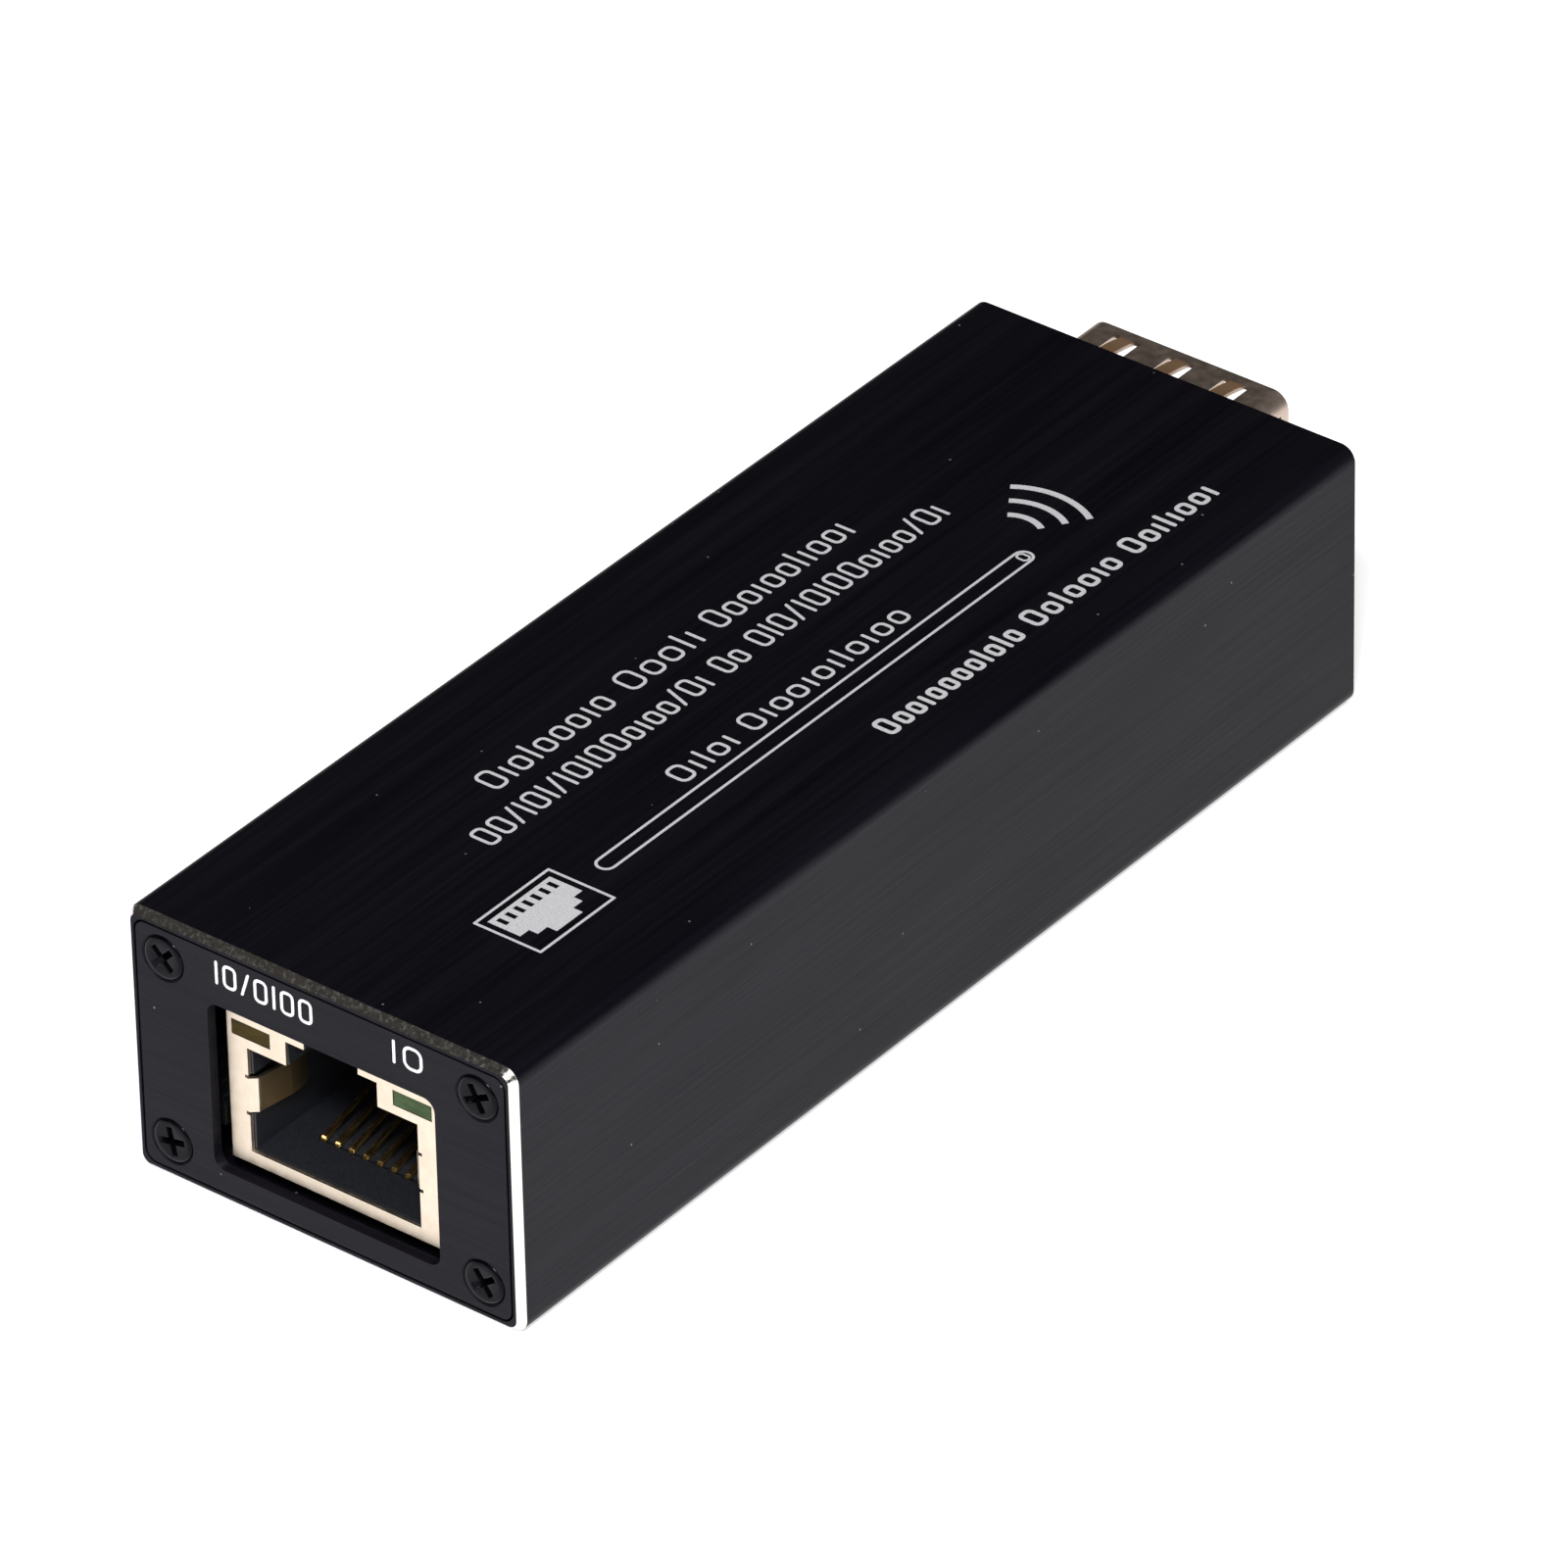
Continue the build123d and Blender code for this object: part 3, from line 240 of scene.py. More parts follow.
# %% Finish the case and the plates
CASE_BRUSHING = (0.34, 18.0, 0.34)
PLATE_BRUSHING = (9.0, 0.24, 0.24)
DIE_LINES = 3.5
DIE_LINES_SHARE = 0.5
HANDLED_PATCH = (7.0, 16.0, 5.0)
HANDLED_ROUGHNESS = 0.06
CHAMFER_SLOPE = math.sin(math.radians(45))
SLOPE_MARGIN = 0.2
DUST_SPACING = 2.6
DUST_SHARE = 0.028
DUST_GREY = "#6E6C72"
CUTTER_MARKS = (0.24, 0.24, 0.24)
CUT_ROUGHNESS = (0.05, 0.3)
BARE_ALUMINIUM = "#E6E3DE"
OXIDE = {"IOR": 1.5, "Specular IOR Level": 0.1, "Specular Tint": (0.82, 0.79, 1.0, 1.0)}


def black_anodised(name, brushing, colours, roughness, relief_mm, chamfered):
    """Dyed oxide on brushed aluminium, with a little dust, and bare chamfers where it has them."""
    material, tree, shader = new_finish(name, OXIDE)
    share = grain(tree, brushing, detail=5.0)
    lines = grain(tree, [size * DIE_LINES for size in brushing])
    streaks = add(tree, "Mix", {0: DIE_LINES_SHARE, 2: share, 3: lines}).outputs[0]
    patch = grain(tree, HANDLED_PATCH, detail=2.0)
    place = add(tree, "TexCoord").outputs["Object"]
    spots = add(tree, "TexVoronoi", {"Vector": place, "Scale": 1 / (DUST_SPACING * MM)})
    near = {0: spots.outputs["Distance"], 1: DUST_SHARE}
    dust = add(tree, "Math", near, operation="LESS_THAN").outputs[0]

    black = two_tone(tree, streaks, *colours)
    skin = two_tone(tree, dust, black, DUST_GREY)
    brushed = add(tree, "MapRange", {"Value": share, 3: roughness[0], 4: roughness[1]})
    handled = {0: patch, 1: HANDLED_ROUGHNESS, 2: brushed.outputs["Result"]}
    rough = add(tree, "Math", handled, operation="MULTIPLY_ADD").outputs[0]
    if chamfered:
        facing = add(tree, "SeparateXYZ", {0: add(tree, "NewGeometry").outputs["True Normal"]})
        lean = add(tree, "Math", {0: facing.outputs["Y"]}, operation="ABSOLUTE").outputs[0]
        bare = add(tree, "Math", {0: lean, 1: CHAMFER_SLOPE, 2: SLOPE_MARGIN},
                   operation="COMPARE").outputs[0]
        marks = grain(tree, CUTTER_MARKS, detail=2.0)
        cut = add(tree, "MapRange", {"Value": marks, 3: CUT_ROUGHNESS[0], 4: CUT_ROUGHNESS[1]})
        skin = two_tone(tree, bare, skin, BARE_ALUMINIUM)
        rough = add(tree, "Mix", {0: bare, 2: rough, 3: cut.outputs["Result"]}).outputs[0]
        tree.links.new(bare, shader.inputs["Metallic"])
    tree.links.new(skin, shader.inputs["Base Color"])
    tree.links.new(rough, shader.inputs["Roughness"])
    relief = add(tree, "Bump", {"Height": share, "Distance": relief_mm * MM})
    tree.links.new(relief.outputs["Normal"], shader.inputs["Normal"])
    return material


dress(black_anodised("black_anodised_tube", CASE_BRUSHING, ("#06050A", "#141319"), (0.32, 0.42),
                     0.008, True), "case_tube")
dress(black_anodised("black_anodised_plate", PLATE_BRUSHING, ("#09080D", "#18171D"), (0.34, 0.44),
                     0.006, False), "front_plate", "rear_plate")

# %% [markdown]
# Nickel plate
# The shield of the socket is thin stamped sheet with a dull nickel plate, which is warmer and
# paler than steel. The cage for the fibre module is folded from springy copper alloy with the
# same metal on it. Both are metals, so they have no colour of their own apart from the tint of
# what they mirror, and their roughness does the rest: both scatter light like silk. The plate
# is thin, so the yellow alloy shows through it where the sheet has been bent. The same warm tint
# is also a painted reflection of the warm light that these bent parts catch: on the springs
# inside the shield, found by their depth, and on the bowed fingers of the cage, found by a
# normal that leans towards the length of the box.

# %% Finish the shield, the cage and the inlet's pin
METAL = {"Metallic": 1.0}
PLATING_GRAIN = (0.7, 0.7, 0.9)
PLATING_RELIEF = 0.0006
SPRING_DEPTH = 0.5
FINGER_LEAN = 0.3
LEAN_MARGIN = 0.26


def thin_nickel(name, colours, roughness, alloy_and_reflection_tint, rubbed, where):
    """Dull nickel with a warm tint where told, partly the base metal showing through and partly painted
    reflection, with its own roughness there.
    """
    material, tree, shader = new_finish(name, METAL)
    share = grain(tree, PLATING_GRAIN)
    alloy_and_reflection_share = where(tree)
    plated = two_tone(tree, share, *colours)
    dull = add(tree, "MapRange", {"Value": share, 3: roughness[0], 4: roughness[1]}).outputs["Result"]
    rough = add(tree, "Mix", {0: alloy_and_reflection_share, 2: dull, 3: rubbed}).outputs[0]
    relief = add(tree, "Bump", {"Height": share, "Distance": PLATING_RELIEF * MM})
    tree.links.new(two_tone(tree, alloy_and_reflection_share, plated, alloy_and_reflection_tint), shader.inputs["Base Color"])
    tree.links.new(rough, shader.inputs["Roughness"])
    tree.links.new(relief.outputs["Normal"], shader.inputs["Normal"])
    return material


def behind_the_face(tree):
    """1 deeper than SPRING_DEPTH behind the shield's face."""
    depth = add(tree, "SeparateXYZ", {0: add(tree, "TexCoord").outputs["Object"]}).outputs["Y"]
    face = (box_mm("rj45_shield")[0].y + SPRING_DEPTH) * MM
    return add(tree, "Math", {0: depth, 1: face}, operation="GREATER_THAN").outputs[0]


def on_the_fingers(tree):
    """1 where the sheet leans as a finger does, and 0 on flat walls and on cut edges."""
    facing = add(tree, "SeparateXYZ", {0: add(tree, "NewGeometry").outputs["True Normal"]})
    lean = add(tree, "Math", {0: facing.outputs["Y"]}, operation="ABSOLUTE").outputs[0]
    window = {0: lean, 1: FINGER_LEAN, 2: LEAN_MARGIN}
    return add(tree, "Math", window, operation="COMPARE").outputs[0]


# The warm tint on the shield's springs and on the cage's fingers is partly a painted reflection.
dress(thin_nickel("nickel_on_brass_sheet", ("#DACBB8", "#EADCCB"), (0.34, 0.46), "#D6C8AE",
                  0.3, behind_the_face), "rj45_shield")
dress(thin_nickel("nickel_on_spring_alloy", ("#C4B2A5", "#D6C5B7"), (0.42, 0.52), "#F2C79C",
                  0.5, on_the_fingers), "sfp_cage", "sfp_cage_floor")
bright_nickel = worked_finish("bright_nickel_plate", (0.6, 0.6, 0.6), ("#C4BEB4", "#D6D1C8"),
                              (0.16, 0.24), 0.0004, METAL)
dress(bright_nickel, "power_inlet_pin", "power_inlet_spring")

# %% [markdown]
# Moulded plastics
# The socket's housing, the connector in the cage and the body of the power inlet are moulded
# in black glass-filled polyester. It comes out of a finely sparked mould, so its shine is soft
# and a little uneven. The windows of the two lamps are clear-tinted lenses in front of lamps
# that are off: olive amber on the left and bottle green on the right. A faint clear coat gives
# them the shine of polished resin.

# %% Finish the plastics
moulded_polyester = worked_finish("moulded_black_polyester", (0.12, 0.12, 0.12), ("#1A1B20", "#282A30"),
                                  (0.3, 0.42), 0.0016, {"IOR": 1.57})
LAMP_RESIN = {"IOR": 1.55, "Specular IOR Level": 0.06, "Coat Weight": 0.03, "Coat Roughness": 0.12}
amber_lens = worked_finish("amber_lamp_lens", (1.4, 0.6, 0.7), ("#2E2403", "#463806"), (0.25, 0.4),
                           0.0006, LAMP_RESIN)
green_lens = worked_finish("green_lamp_lens", (1.4, 0.6, 0.7), ("#324528", "#4D603E"), (0.25, 0.4),
                           0.0006, LAMP_RESIN)
dress(moulded_polyester, "rj45_housing", "sfp_host_connector", "power_inlet_body")
dress(amber_lens, "rj45_lamp_left")
dress(green_lens, "rj45_lamp_right")

# %% [markdown]
# Gold plate
# Contacts are stamped from bronze and get a thin flash of gold, so that they never tarnish.
# Gold is a metal whose colour lies in its reflection, and it is smooth where the die slid
# along it. The lines are those of the sheet's rolling, a tenth of a millimetre apart.

# %% Finish the contacts
gold_plate = worked_finish("gold_plate", (0.1, 1.6, 0.5), ("#DDB263", "#F2D699"), (0.18, 0.28),
                           0.0005, METAL)
dress(gold_plate, "sfp_host_contacts_upper", "sfp_host_contacts_lower", "rj45_contacts")

# %% [markdown]
# The board
# The board is glass laminate under black solder mask, as nothing green shows in the gap beside
# the socket. The mask is a dyed lacquer, so the copper tracks below it show as paler lines and
# raise it slightly. A wave pattern of straight lines every millimetre stands for them, cut into
# runs by a coarse grain. The wave texture passes through twenty radians in each unit of length,
# so its scale is a full turn over twenty pitches.

# %% Finish the circuit board
TRACK_PITCH = 1.0
WAVE_RADIANS = 20
TRACK_RUNS = (6.0, 9.0, 6.0)
TRACK_EDGE = 0.45
TRACK_RELIEF = 0.03
board_mask, mask_tree, mask_shader = new_finish(
    "black_solder_mask", {"IOR": 1.5, "Roughness": 0.28, "Coat Weight": 0.3, "Coat Roughness": 0.1})
board_place = add(mask_tree, "TexCoord").outputs["Object"]
wave_scale = 2 * math.pi / (WAVE_RADIANS * TRACK_PITCH * MM)
tracks = add(mask_tree, "TexWave", {"Vector": board_place, "Scale": wave_scale},
             wave_type="BANDS", bands_direction="X")
runs = grain(mask_tree, TRACK_RUNS, detail=1.0)
copper = add(mask_tree, "Math", {0: tracks.outputs["Fac"], 1: runs}, operation="MULTIPLY").outputs[0]
raised = add(mask_tree, "Math", {0: copper, 1: TRACK_EDGE}, operation="GREATER_THAN").outputs[0]
mask_tree.links.new(two_tone(mask_tree, raised, "#0B0C0D", "#1D1F20"), mask_shader.inputs["Base Color"])
mask_relief = add(mask_tree, "Bump", {"Height": raised, "Distance": TRACK_RELIEF * MM})
mask_tree.links.new(mask_relief.outputs["Normal"], mask_shader.inputs["Normal"])
dress(board_mask, "circuit_board")

# %% [markdown]
# Parts on the board
# Each kind of part has the skin of its trade: chips are pressed in black epoxy, which is matt
# and finely pitted; their legs are dipped in tin; the coil sits in sintered ferrite; the large
# capacitor is a drawn aluminium can on a moulded foot; small capacitors are tan fired ceramic
# and resistors glass-coated black ones; the crystal has a satin nickel can; and the fuse is a
# green polymer sheet.

# %% Finish the parts on the board
black_epoxy = worked_finish("pressed_black_epoxy", (0.09, 0.09, 0.09), ("#141416", "#222225"),
                            (0.55, 0.7), 0.004, {"IOR": 1.55})
dipped_tin = worked_finish("dipped_tin", (0.4, 0.4, 0.4), ("#B4B4B0", "#CFCFCB"), (0.25, 0.4),
                           0.001, METAL)
sintered_ferrite = worked_finish("sintered_ferrite", (0.15, 0.15, 0.15), ("#2E2E30", "#454548"),
                                 (0.6, 0.75), 0.006)
drawn_aluminium = worked_finish("drawn_aluminium_can", (0.3, 0.3, 3.0), ("#C2C3C6", "#D8D9DB"),
                                (0.22, 0.34), 0.0008, METAL)
tan_ceramic = worked_finish("tan_fired_ceramic", (0.1, 0.1, 0.1), ("#7A5A3C", "#8F6C4B"),
                            (0.45, 0.6), 0.002, {"IOR": 1.6})
black_glaze = worked_finish("glass_coated_black_ceramic", (0.2, 0.2, 0.2), ("#141416", "#1D1D20"),
                            (0.2, 0.35), 0.001, {"IOR": 1.5})
satin_can = worked_finish("satin_nickel_can", (0.5, 0.3, 0.5), ("#B9B5AC", "#CDC9C0"),
                          (0.28, 0.38), 0.0006, METAL)
green_polymer = worked_finish("green_fuse_polymer", (0.3, 0.3, 0.3), ("#1C5A33", "#2A7043"),
                              (0.5, 0.62), 0.002, {"IOR": 1.5})
dress(black_epoxy, "line_transformer", "converter_chip", "memory_chip", "regulator_chip",
      "surge_diode", "input_capacitor_base")
dress(dipped_tin, "line_transformer_leads", "memory_chip_leads")
dress(sintered_ferrite, "power_inductor")
dress(drawn_aluminium, "input_capacitor_can")
dress(tan_ceramic, "ceramic_capacitors")
dress(black_glaze, "chip_resistors")
dress(satin_can, "crystal")
dress(green_polymer, "resettable_fuse")

# %% [markdown]
# Making meshes
# Small parts are drawn in millimetres, as on a workshop drawing, and turned to metres when they
# are done. One function closes every new piece in the same way: it makes the faces look
# outwards, smooths the gentle edges, gives the finish, and lets the piece ride on the box.

# %% Helper for new pieces
def finish_piece(name, mesh, material, stands_for=(), smooth_below=35.0):
    """Turns a bmesh in millimetres into a piece of the object."""
    bmesh.ops.recalc_face_normals(mesh, faces=mesh.faces)
    bmesh.ops.scale(mesh, vec=(MM, MM, MM), verts=mesh.verts)
    data = bpy.data.meshes.new(name)
    mesh.to_mesh(data)
    mesh.free()
    data.materials.append(material)
    data.shade_smooth()
    data.set_sharp_from_angle(angle=math.radians(smooth_below))
    piece = bpy.data.objects.new(name, data)
    bpy.context.scene.collection.objects.link(piece)
    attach(piece, "root")
    if stands_for:
        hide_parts(*stands_for)
    print(name, "faces:", len(data.polygons))


# %% [markdown]
# The screws
# Countersunk cross-head screws are cold formed: a punch rounds the head's rim and drives in the
# tapered cross, and the thread is rolled. So the body is built as rings of points round an
# axis, where the rows along the shank swell and shrink with a helix, and a tapered cross is
# then cut out of the head with a Boolean modifier. Subdividing a simple cross could not keep
# the recess's flat walls. The punch leaves the edges of the cross slightly round, so they are
# bevelled: with the round rim, they are what catches the small glints on glossy black oxide.

# %% Make one screw
HEAD_FLAT = 1.08
HEAD_RISE = 0.14
RIM_ROUND = 0.28
RIM_DEPTH = 0.22
CONE_DEPTH = 0.63
SHANK_RADIUS = 0.8
THREAD_PITCH = 0.35
THREAD_DEPTH = 0.17
THREAD_START = 1.0
ROWS_PER_PITCH = 6
RIM_STEPS = 6
AROUND = 48
RECESS_SPAN = 1.74
RECESS_WIDTH = 0.4
RECESS_DEPTH = 0.8
RECESS_TAPER = 0.45
RECESS_EASE = 0.045
EASE_STEPS = 3
EASED_ABOVE = math.radians(40)
PUNCH_OVERRUN_SHARE = 0.25
MOUTH_WIDTH_SHARE = 1.05
FLOOR_WIDTH_SHARE = 0.62


def ring_of(mesh, radii, depth):
    """One ring of points round the axis, at a depth below the head's face."""
    turn = 2 * math.pi / AROUND
    return [mesh.verts.new((r * math.cos(i * turn), r * math.sin(i * turn), -depth))
            for i, r in enumerate(radii)]


def screw_body(length, head_radius):
    """A round-rimmed countersunk head on a threaded shank, along -Z, as one closed skin."""
    mesh = bmesh.new()
    profile = [(HEAD_FLAT, -HEAD_RISE)]
    for s in range(RIM_STEPS + 1):
        swing = math.radians(90) * s / RIM_STEPS
        profile.append((head_radius - RIM_ROUND * (1 - math.sin(swing)),
                        RIM_DEPTH * (1 - math.cos(swing)) - HEAD_RISE))
    profile.append((SHANK_RADIUS, CONE_DEPTH))
    profile.append((SHANK_RADIUS - THREAD_DEPTH, CONE_DEPTH + THREAD_DEPTH))
    rings = [ring_of(mesh, [r] * AROUND, depth) for r, depth in profile]
    rows = int((length - THREAD_START - THREAD_PITCH) / THREAD_PITCH * ROWS_PER_PITCH)
    for row in range(rows + 1):
        depth = THREAD_START + row * THREAD_PITCH / ROWS_PER_PITCH
        fade = min(1.0, row / ROWS_PER_PITCH, (rows - row) / ROWS_PER_PITCH)
        phases = [(row / ROWS_PER_PITCH - i / AROUND) % 1.0 for i in range(AROUND)]
        radii = [SHANK_RADIUS - THREAD_DEPTH * (1 - fade * (1 - abs(2 * p - 1))) for p in phases]
        rings.append(ring_of(mesh, radii, depth))
    rings.append(ring_of(mesh, [SHANK_RADIUS - 2 * THREAD_DEPTH] * AROUND, length))
    for upper, lower in zip(rings, rings[1:]):
        for i in range(AROUND):
            j = (i + 1) % AROUND
            mesh.faces.new((upper[i], upper[j], lower[j], lower[i]))
    mesh.faces.new(rings[0])
    mesh.faces.new(rings[-1])
    bmesh.ops.recalc_face_normals(mesh, faces=mesh.faces)
    return mesh


def cross_punch():
    """The tapered cross that cuts the recess: two wedges that cross at the axis."""
    mesh = bmesh.new()
    for turn in (0, 90):
        corners = []
        for height, span, width in (
            (RECESS_DEPTH * PUNCH_OVERRUN_SHARE, 1 + RECESS_TAPER * PUNCH_OVERRUN_SHARE, MOUTH_WIDTH_SHARE),
            (-RECESS_DEPTH, 1 - RECESS_TAPER, FLOOR_WIDTH_SHARE),
        ):
            for x, y in ((-1, -1), (1, -1), (1, 1), (-1, 1)):
                corners.append((x * span * RECESS_SPAN / 2, y * width * RECESS_WIDTH / 2, height))
        swung = Matrix.Rotation(math.radians(turn), 3, "Z")
        made = [mesh.verts.new(swung @ Vector(corner)) for corner in corners]
        for quad in ((3, 2, 1, 0), (4, 5, 6, 7), (0, 1, 5, 4), (1, 2, 6, 5), (2, 3, 7, 6), (3, 0, 4, 7)):
            mesh.faces.new([made[i] for i in quad])
    bmesh.ops.recalc_face_normals(mesh, faces=mesh.faces)
    return mesh


def to_object(name, mesh):
    """Puts a bmesh in an object, for a modifier to work on."""
    data = bpy.data.meshes.new(name)
    mesh.to_mesh(data)
    mesh.free()
    made = bpy.data.objects.new(name, data)
    bpy.context.scene.collection.objects.link(made)
    return made


def recessed_screw(length, head_radius):
    """One finished screw as a mesh in millimetres."""
    body = to_object("screw_blank", screw_body(length, head_radius))
    punch = to_object("cross_punch", cross_punch())
    cut = body.modifiers.new("recess", "BOOLEAN")
    cut.operation = "DIFFERENCE"
    cut.solver = "EXACT"
    cut.use_self = True
    cut.object = punch
    shaped = body.evaluated_get(bpy.context.evaluated_depsgraph_get())
    result = bpy.data.meshes.new_from_object(shaped)
    for made in (body, punch):
        bpy.data.objects.remove(made)
    mesh = bmesh.new()
    mesh.from_mesh(result)
    sharp = [edge for edge in mesh.edges if edge.calc_face_angle(0.0) > EASED_ABOVE
             and all(v.co.z > 0 and v.co.xy.length < HEAD_FLAT for v in edge.verts)]
    bmesh.ops.bevel(mesh, geom=sharp, offset=RECESS_EASE, segments=EASE_STEPS, profile=0.5, affect="EDGES")
    mesh.to_mesh(result)
    mesh.free()
    print("screw faces:", len(result.polygons), "edges eased:", len(sharp))
    return result


screws_low, screws_high = box_mm("front_plate_screws")
SCREW_LENGTH = screws_high.y - screws_low.y
HEAD_RADIUS = 1.43
screw_mesh = recessed_screw(SCREW_LENGTH, HEAD_RADIUS)

# %% [markdown]
# Setting the screws
# The screws are steel in black oxide, which a hot bath grows on them and a wipe of oil seals. It
# is glossier than the anodising and mirrors as little. Nobody lines up the crosses of real
# screws, so each has its own turn: the four at the socket follow the picture, and those behind
# have turns that look as unplanned.

# %% Set the screws
black_oxide = worked_finish("black_oxide_on_steel", (0.25, 0.25, 0.25), ("#040406", "#09090C"),
                            (0.08, 0.14), 0.0004, OXIDE)
FRONT_TURNS = {(-1, 1): 45, (1, 1): 28, (-1, -1): 12, (1, -1): 35}
REAR_TURNS = {(-1, 1): 20, (1, 1): 62, (-1, -1): 75, (1, -1): 8}


def set_screws(node, turns, outwards):
    """Four screws in a plate; outwards is -1 at the socket end and 1 at the cage end."""
    low, high = box_mm(node)
    face = low.y if outwards < 0 else high.y
    tip = Matrix.Rotation(math.radians(-90 * outwards), 4, "X")
    mesh = bmesh.new()
    for (side, height), turn in turns.items():
        x = high.x - HEAD_RADIUS if side > 0 else low.x + HEAD_RADIUS
        z = high.z - HEAD_RADIUS if height > 0 else low.z + HEAD_RADIUS
        place = Matrix.Translation((x, face, z)) @ tip @ Matrix.Rotation(math.radians(turn), 4, "Z")
        copy = screw_mesh.copy()
        copy.transform(place)
        mesh.from_mesh(copy)
        bpy.data.meshes.remove(copy)
    finish_piece(node + "_cross_head", mesh, black_oxide, [node])


set_screws("front_plate_screws", FRONT_TURNS, -1)
set_screws("rear_plate_screws", REAR_TURNS, 1)

# %% [markdown]
# The contacts of the socket
# Each contact is a strip that a press bends round small radii, so its bends are round and catch
# a glint, which the plain corners of the solids can't. Its line comes in at the back, goes down
# and forward along the floor of the socket, up at the front, and back in a long slope for the
# plug to press on. The strip is swept here: a slightly rounded section is carried along the line
# with its corners replaced by arcs. A curve with a bevel could do it too, but a bevel twists the
# section at steep bends.

# %% Bend the contacts
CONTACT_COUNT = 8
CONTACT_WIDTH = 0.4
CONTACT_SHEET = 0.3
CONTACT_EDGE = 0.06
BEND_RADIUS = 0.36
BEND_STEPS = 6
BEND_LIMIT_SHARE = 0.48
TAIL_RUN = 2.4
FRONT_RISE = 0.85
TIP_REACH = 8.1
TIP_RISE = 3.1
contacts_low, contacts_high = box_mm("rj45_contacts")
front_y = contacts_low.y + CONTACT_SHEET / 2
run_z = contacts_low.z + CONTACT_SHEET / 2
tail_z = contacts_high.z - CONTACT_SHEET / 2
drop_y = contacts_high.y - TAIL_RUN
CONTACT_LINE = (
    (contacts_high.y, tail_z), (drop_y, tail_z), (drop_y, run_z), (front_y, run_z),
    (front_y, run_z + FRONT_RISE), (front_y + TIP_REACH, run_z + TIP_RISE),
)


def round_bends(points, radius):
    """The line through points, with an arc in place of each corner."""
    line = [Vector(points[0])]
    for before, corner, after in zip(points, points[1:], points[2:]):
        corner = Vector(corner)
        inwards = (Vector(before) - corner).normalized()
        outwards = (Vector(after) - corner).normalized()
        half = inwards.angle(outwards) / 2
        shorter = min((Vector(after) - corner).length, (Vector(before) - corner).length)
        reach = min(radius / math.tan(half), shorter * BEND_LIMIT_SHARE)
        start, end = corner + inwards * reach, corner + outwards * reach
        for step in range(BEND_STEPS + 1):
            share = step / BEND_STEPS
            line.append(start.lerp(corner, share).lerp(corner.lerp(end, share), share))
    return line + [Vector(points[-1])]


def sweep_strip(mesh, x, line):
    """One strip along a line in the Y-Z plane."""
    wide, tall = CONTACT_WIDTH / 2, CONTACT_SHEET / 2
    section = []
    for sx, sy in ((1, 1), (-1, 1), (-1, -1), (1, -1)):
        corner = [(sx * wide, sy * (tall - CONTACT_EDGE)), (sx * (wide - CONTACT_EDGE), sy * tall)]
        section += corner if sx * sy > 0 else corner[::-1]
    rings = []
    for i, point in enumerate(line):
        ahead = line[min(i + 1, len(line) - 1)] - line[max(i - 1, 0)]
        aside = Vector((-ahead.y, ahead.x)).normalized()
        rings.append([mesh.verts.new((x + across, *(point + aside * off))) for across, off in section])
    for first, second in zip(rings, rings[1:]):
        for i in range(len(section)):
            mesh.faces.new((first[i - 1], first[i], second[i], second[i - 1]))
    mesh.faces.new(rings[0])
    mesh.faces.new(rings[-1])


contact_mesh = bmesh.new()
contact_pitch = (contacts_high.x - contacts_low.x - CONTACT_WIDTH) / (CONTACT_COUNT - 1)
for number in range(CONTACT_COUNT):
    sweep_strip(contact_mesh, contacts_low.x + CONTACT_WIDTH / 2 + number * contact_pitch,
                round_bends(CONTACT_LINE, BEND_RADIUS))
finish_piece("rj45_contacts_bent", contact_mesh, gold_plate, ["rj45_contacts"])

# %% [markdown]
# The print
# The case is pad printed in silver ink, a film about a hundredth of a millimetre thick. It is
# made as a real film, so it catches light on its own, and nothing depends on a picture. The
# rows on the top are plain rings and strokes, which spell nothing and keep the rhythm of a
# printed row: the marks of a group share its length, and a bar takes about half as much as a
# ring. A long capsule stands for a fibre, with plain arcs for its light, and a small sign shows
# a socket.

# %% Helpers for print
INK_FILM = 0.02
CURVE_STEPS = 6
LEAST_RADIUS = 0.02
LEAST_STRAIGHT = 0.001


def rounded(u, v, wide, tall, radius):
    """The outline of a rectangle round (u, v) with round corners."""
    points = []
    for quarter, (x, y) in enumerate(((1, 1), (-1, 1), (-1, -1), (1, -1))):
        for step in range(CURVE_STEPS + 1):
            turn = math.radians(90) * (quarter + step / CURVE_STEPS)
            points.append((u + x * (wide / 2 - radius) + radius * math.cos(turn),
                           v + y * (tall / 2 - radius) + radius * math.sin(turn)))
    return points


def film(mesh, place, *outlines):
    """Lays down one closed film of ink: the first outline is its edge and the others are holes."""
    skins = [[[mesh.verts.new(place(u, v, rise)) for u, v in line] for line in outlines]
             for rise in (0.0, INK_FILM)]
    for low, high in zip(*skins):
        for i in range(len(low)):
            mesh.faces.new((low[i - 1], low[i], high[i], high[i - 1]))
    for skin in skins:
        edges = [mesh.edges.get((line[i - 1], line[i])) for line in skin for i in range(len(line))]
        bmesh.ops.triangle_fill(mesh, edges=edges, use_beauty=True)


def ring(mesh, place, u, v, wide, tall, radius, stroke):
    """A ring of ink with round corners."""
    inner_radius = max(radius - stroke, LEAST_RADIUS)
    film(mesh, place, rounded(u, v, wide, tall, radius),
         rounded(u, v, wide - 2 * stroke, tall - 2 * stroke, inner_radius))


def bar(mesh, place, u, v, wide, tall, lean=0.0):
    """A bar of ink with round ends, upright or leaning over."""
    outline = rounded(u, v, wide, tall, wide / 2 - LEAST_STRAIGHT)
    film(mesh, place, [(x + lean * (y - v), y) for x, y in outline])


MARK_SHARES = {"o": 1.0, "O": 1.12, "i": 0.52, "l": 0.52, "/": 0.8}
SMALL_SHARE = 0.74
RING_SHARE = 0.76
BEND_SHARE = 0.3
SLANT = 0.32


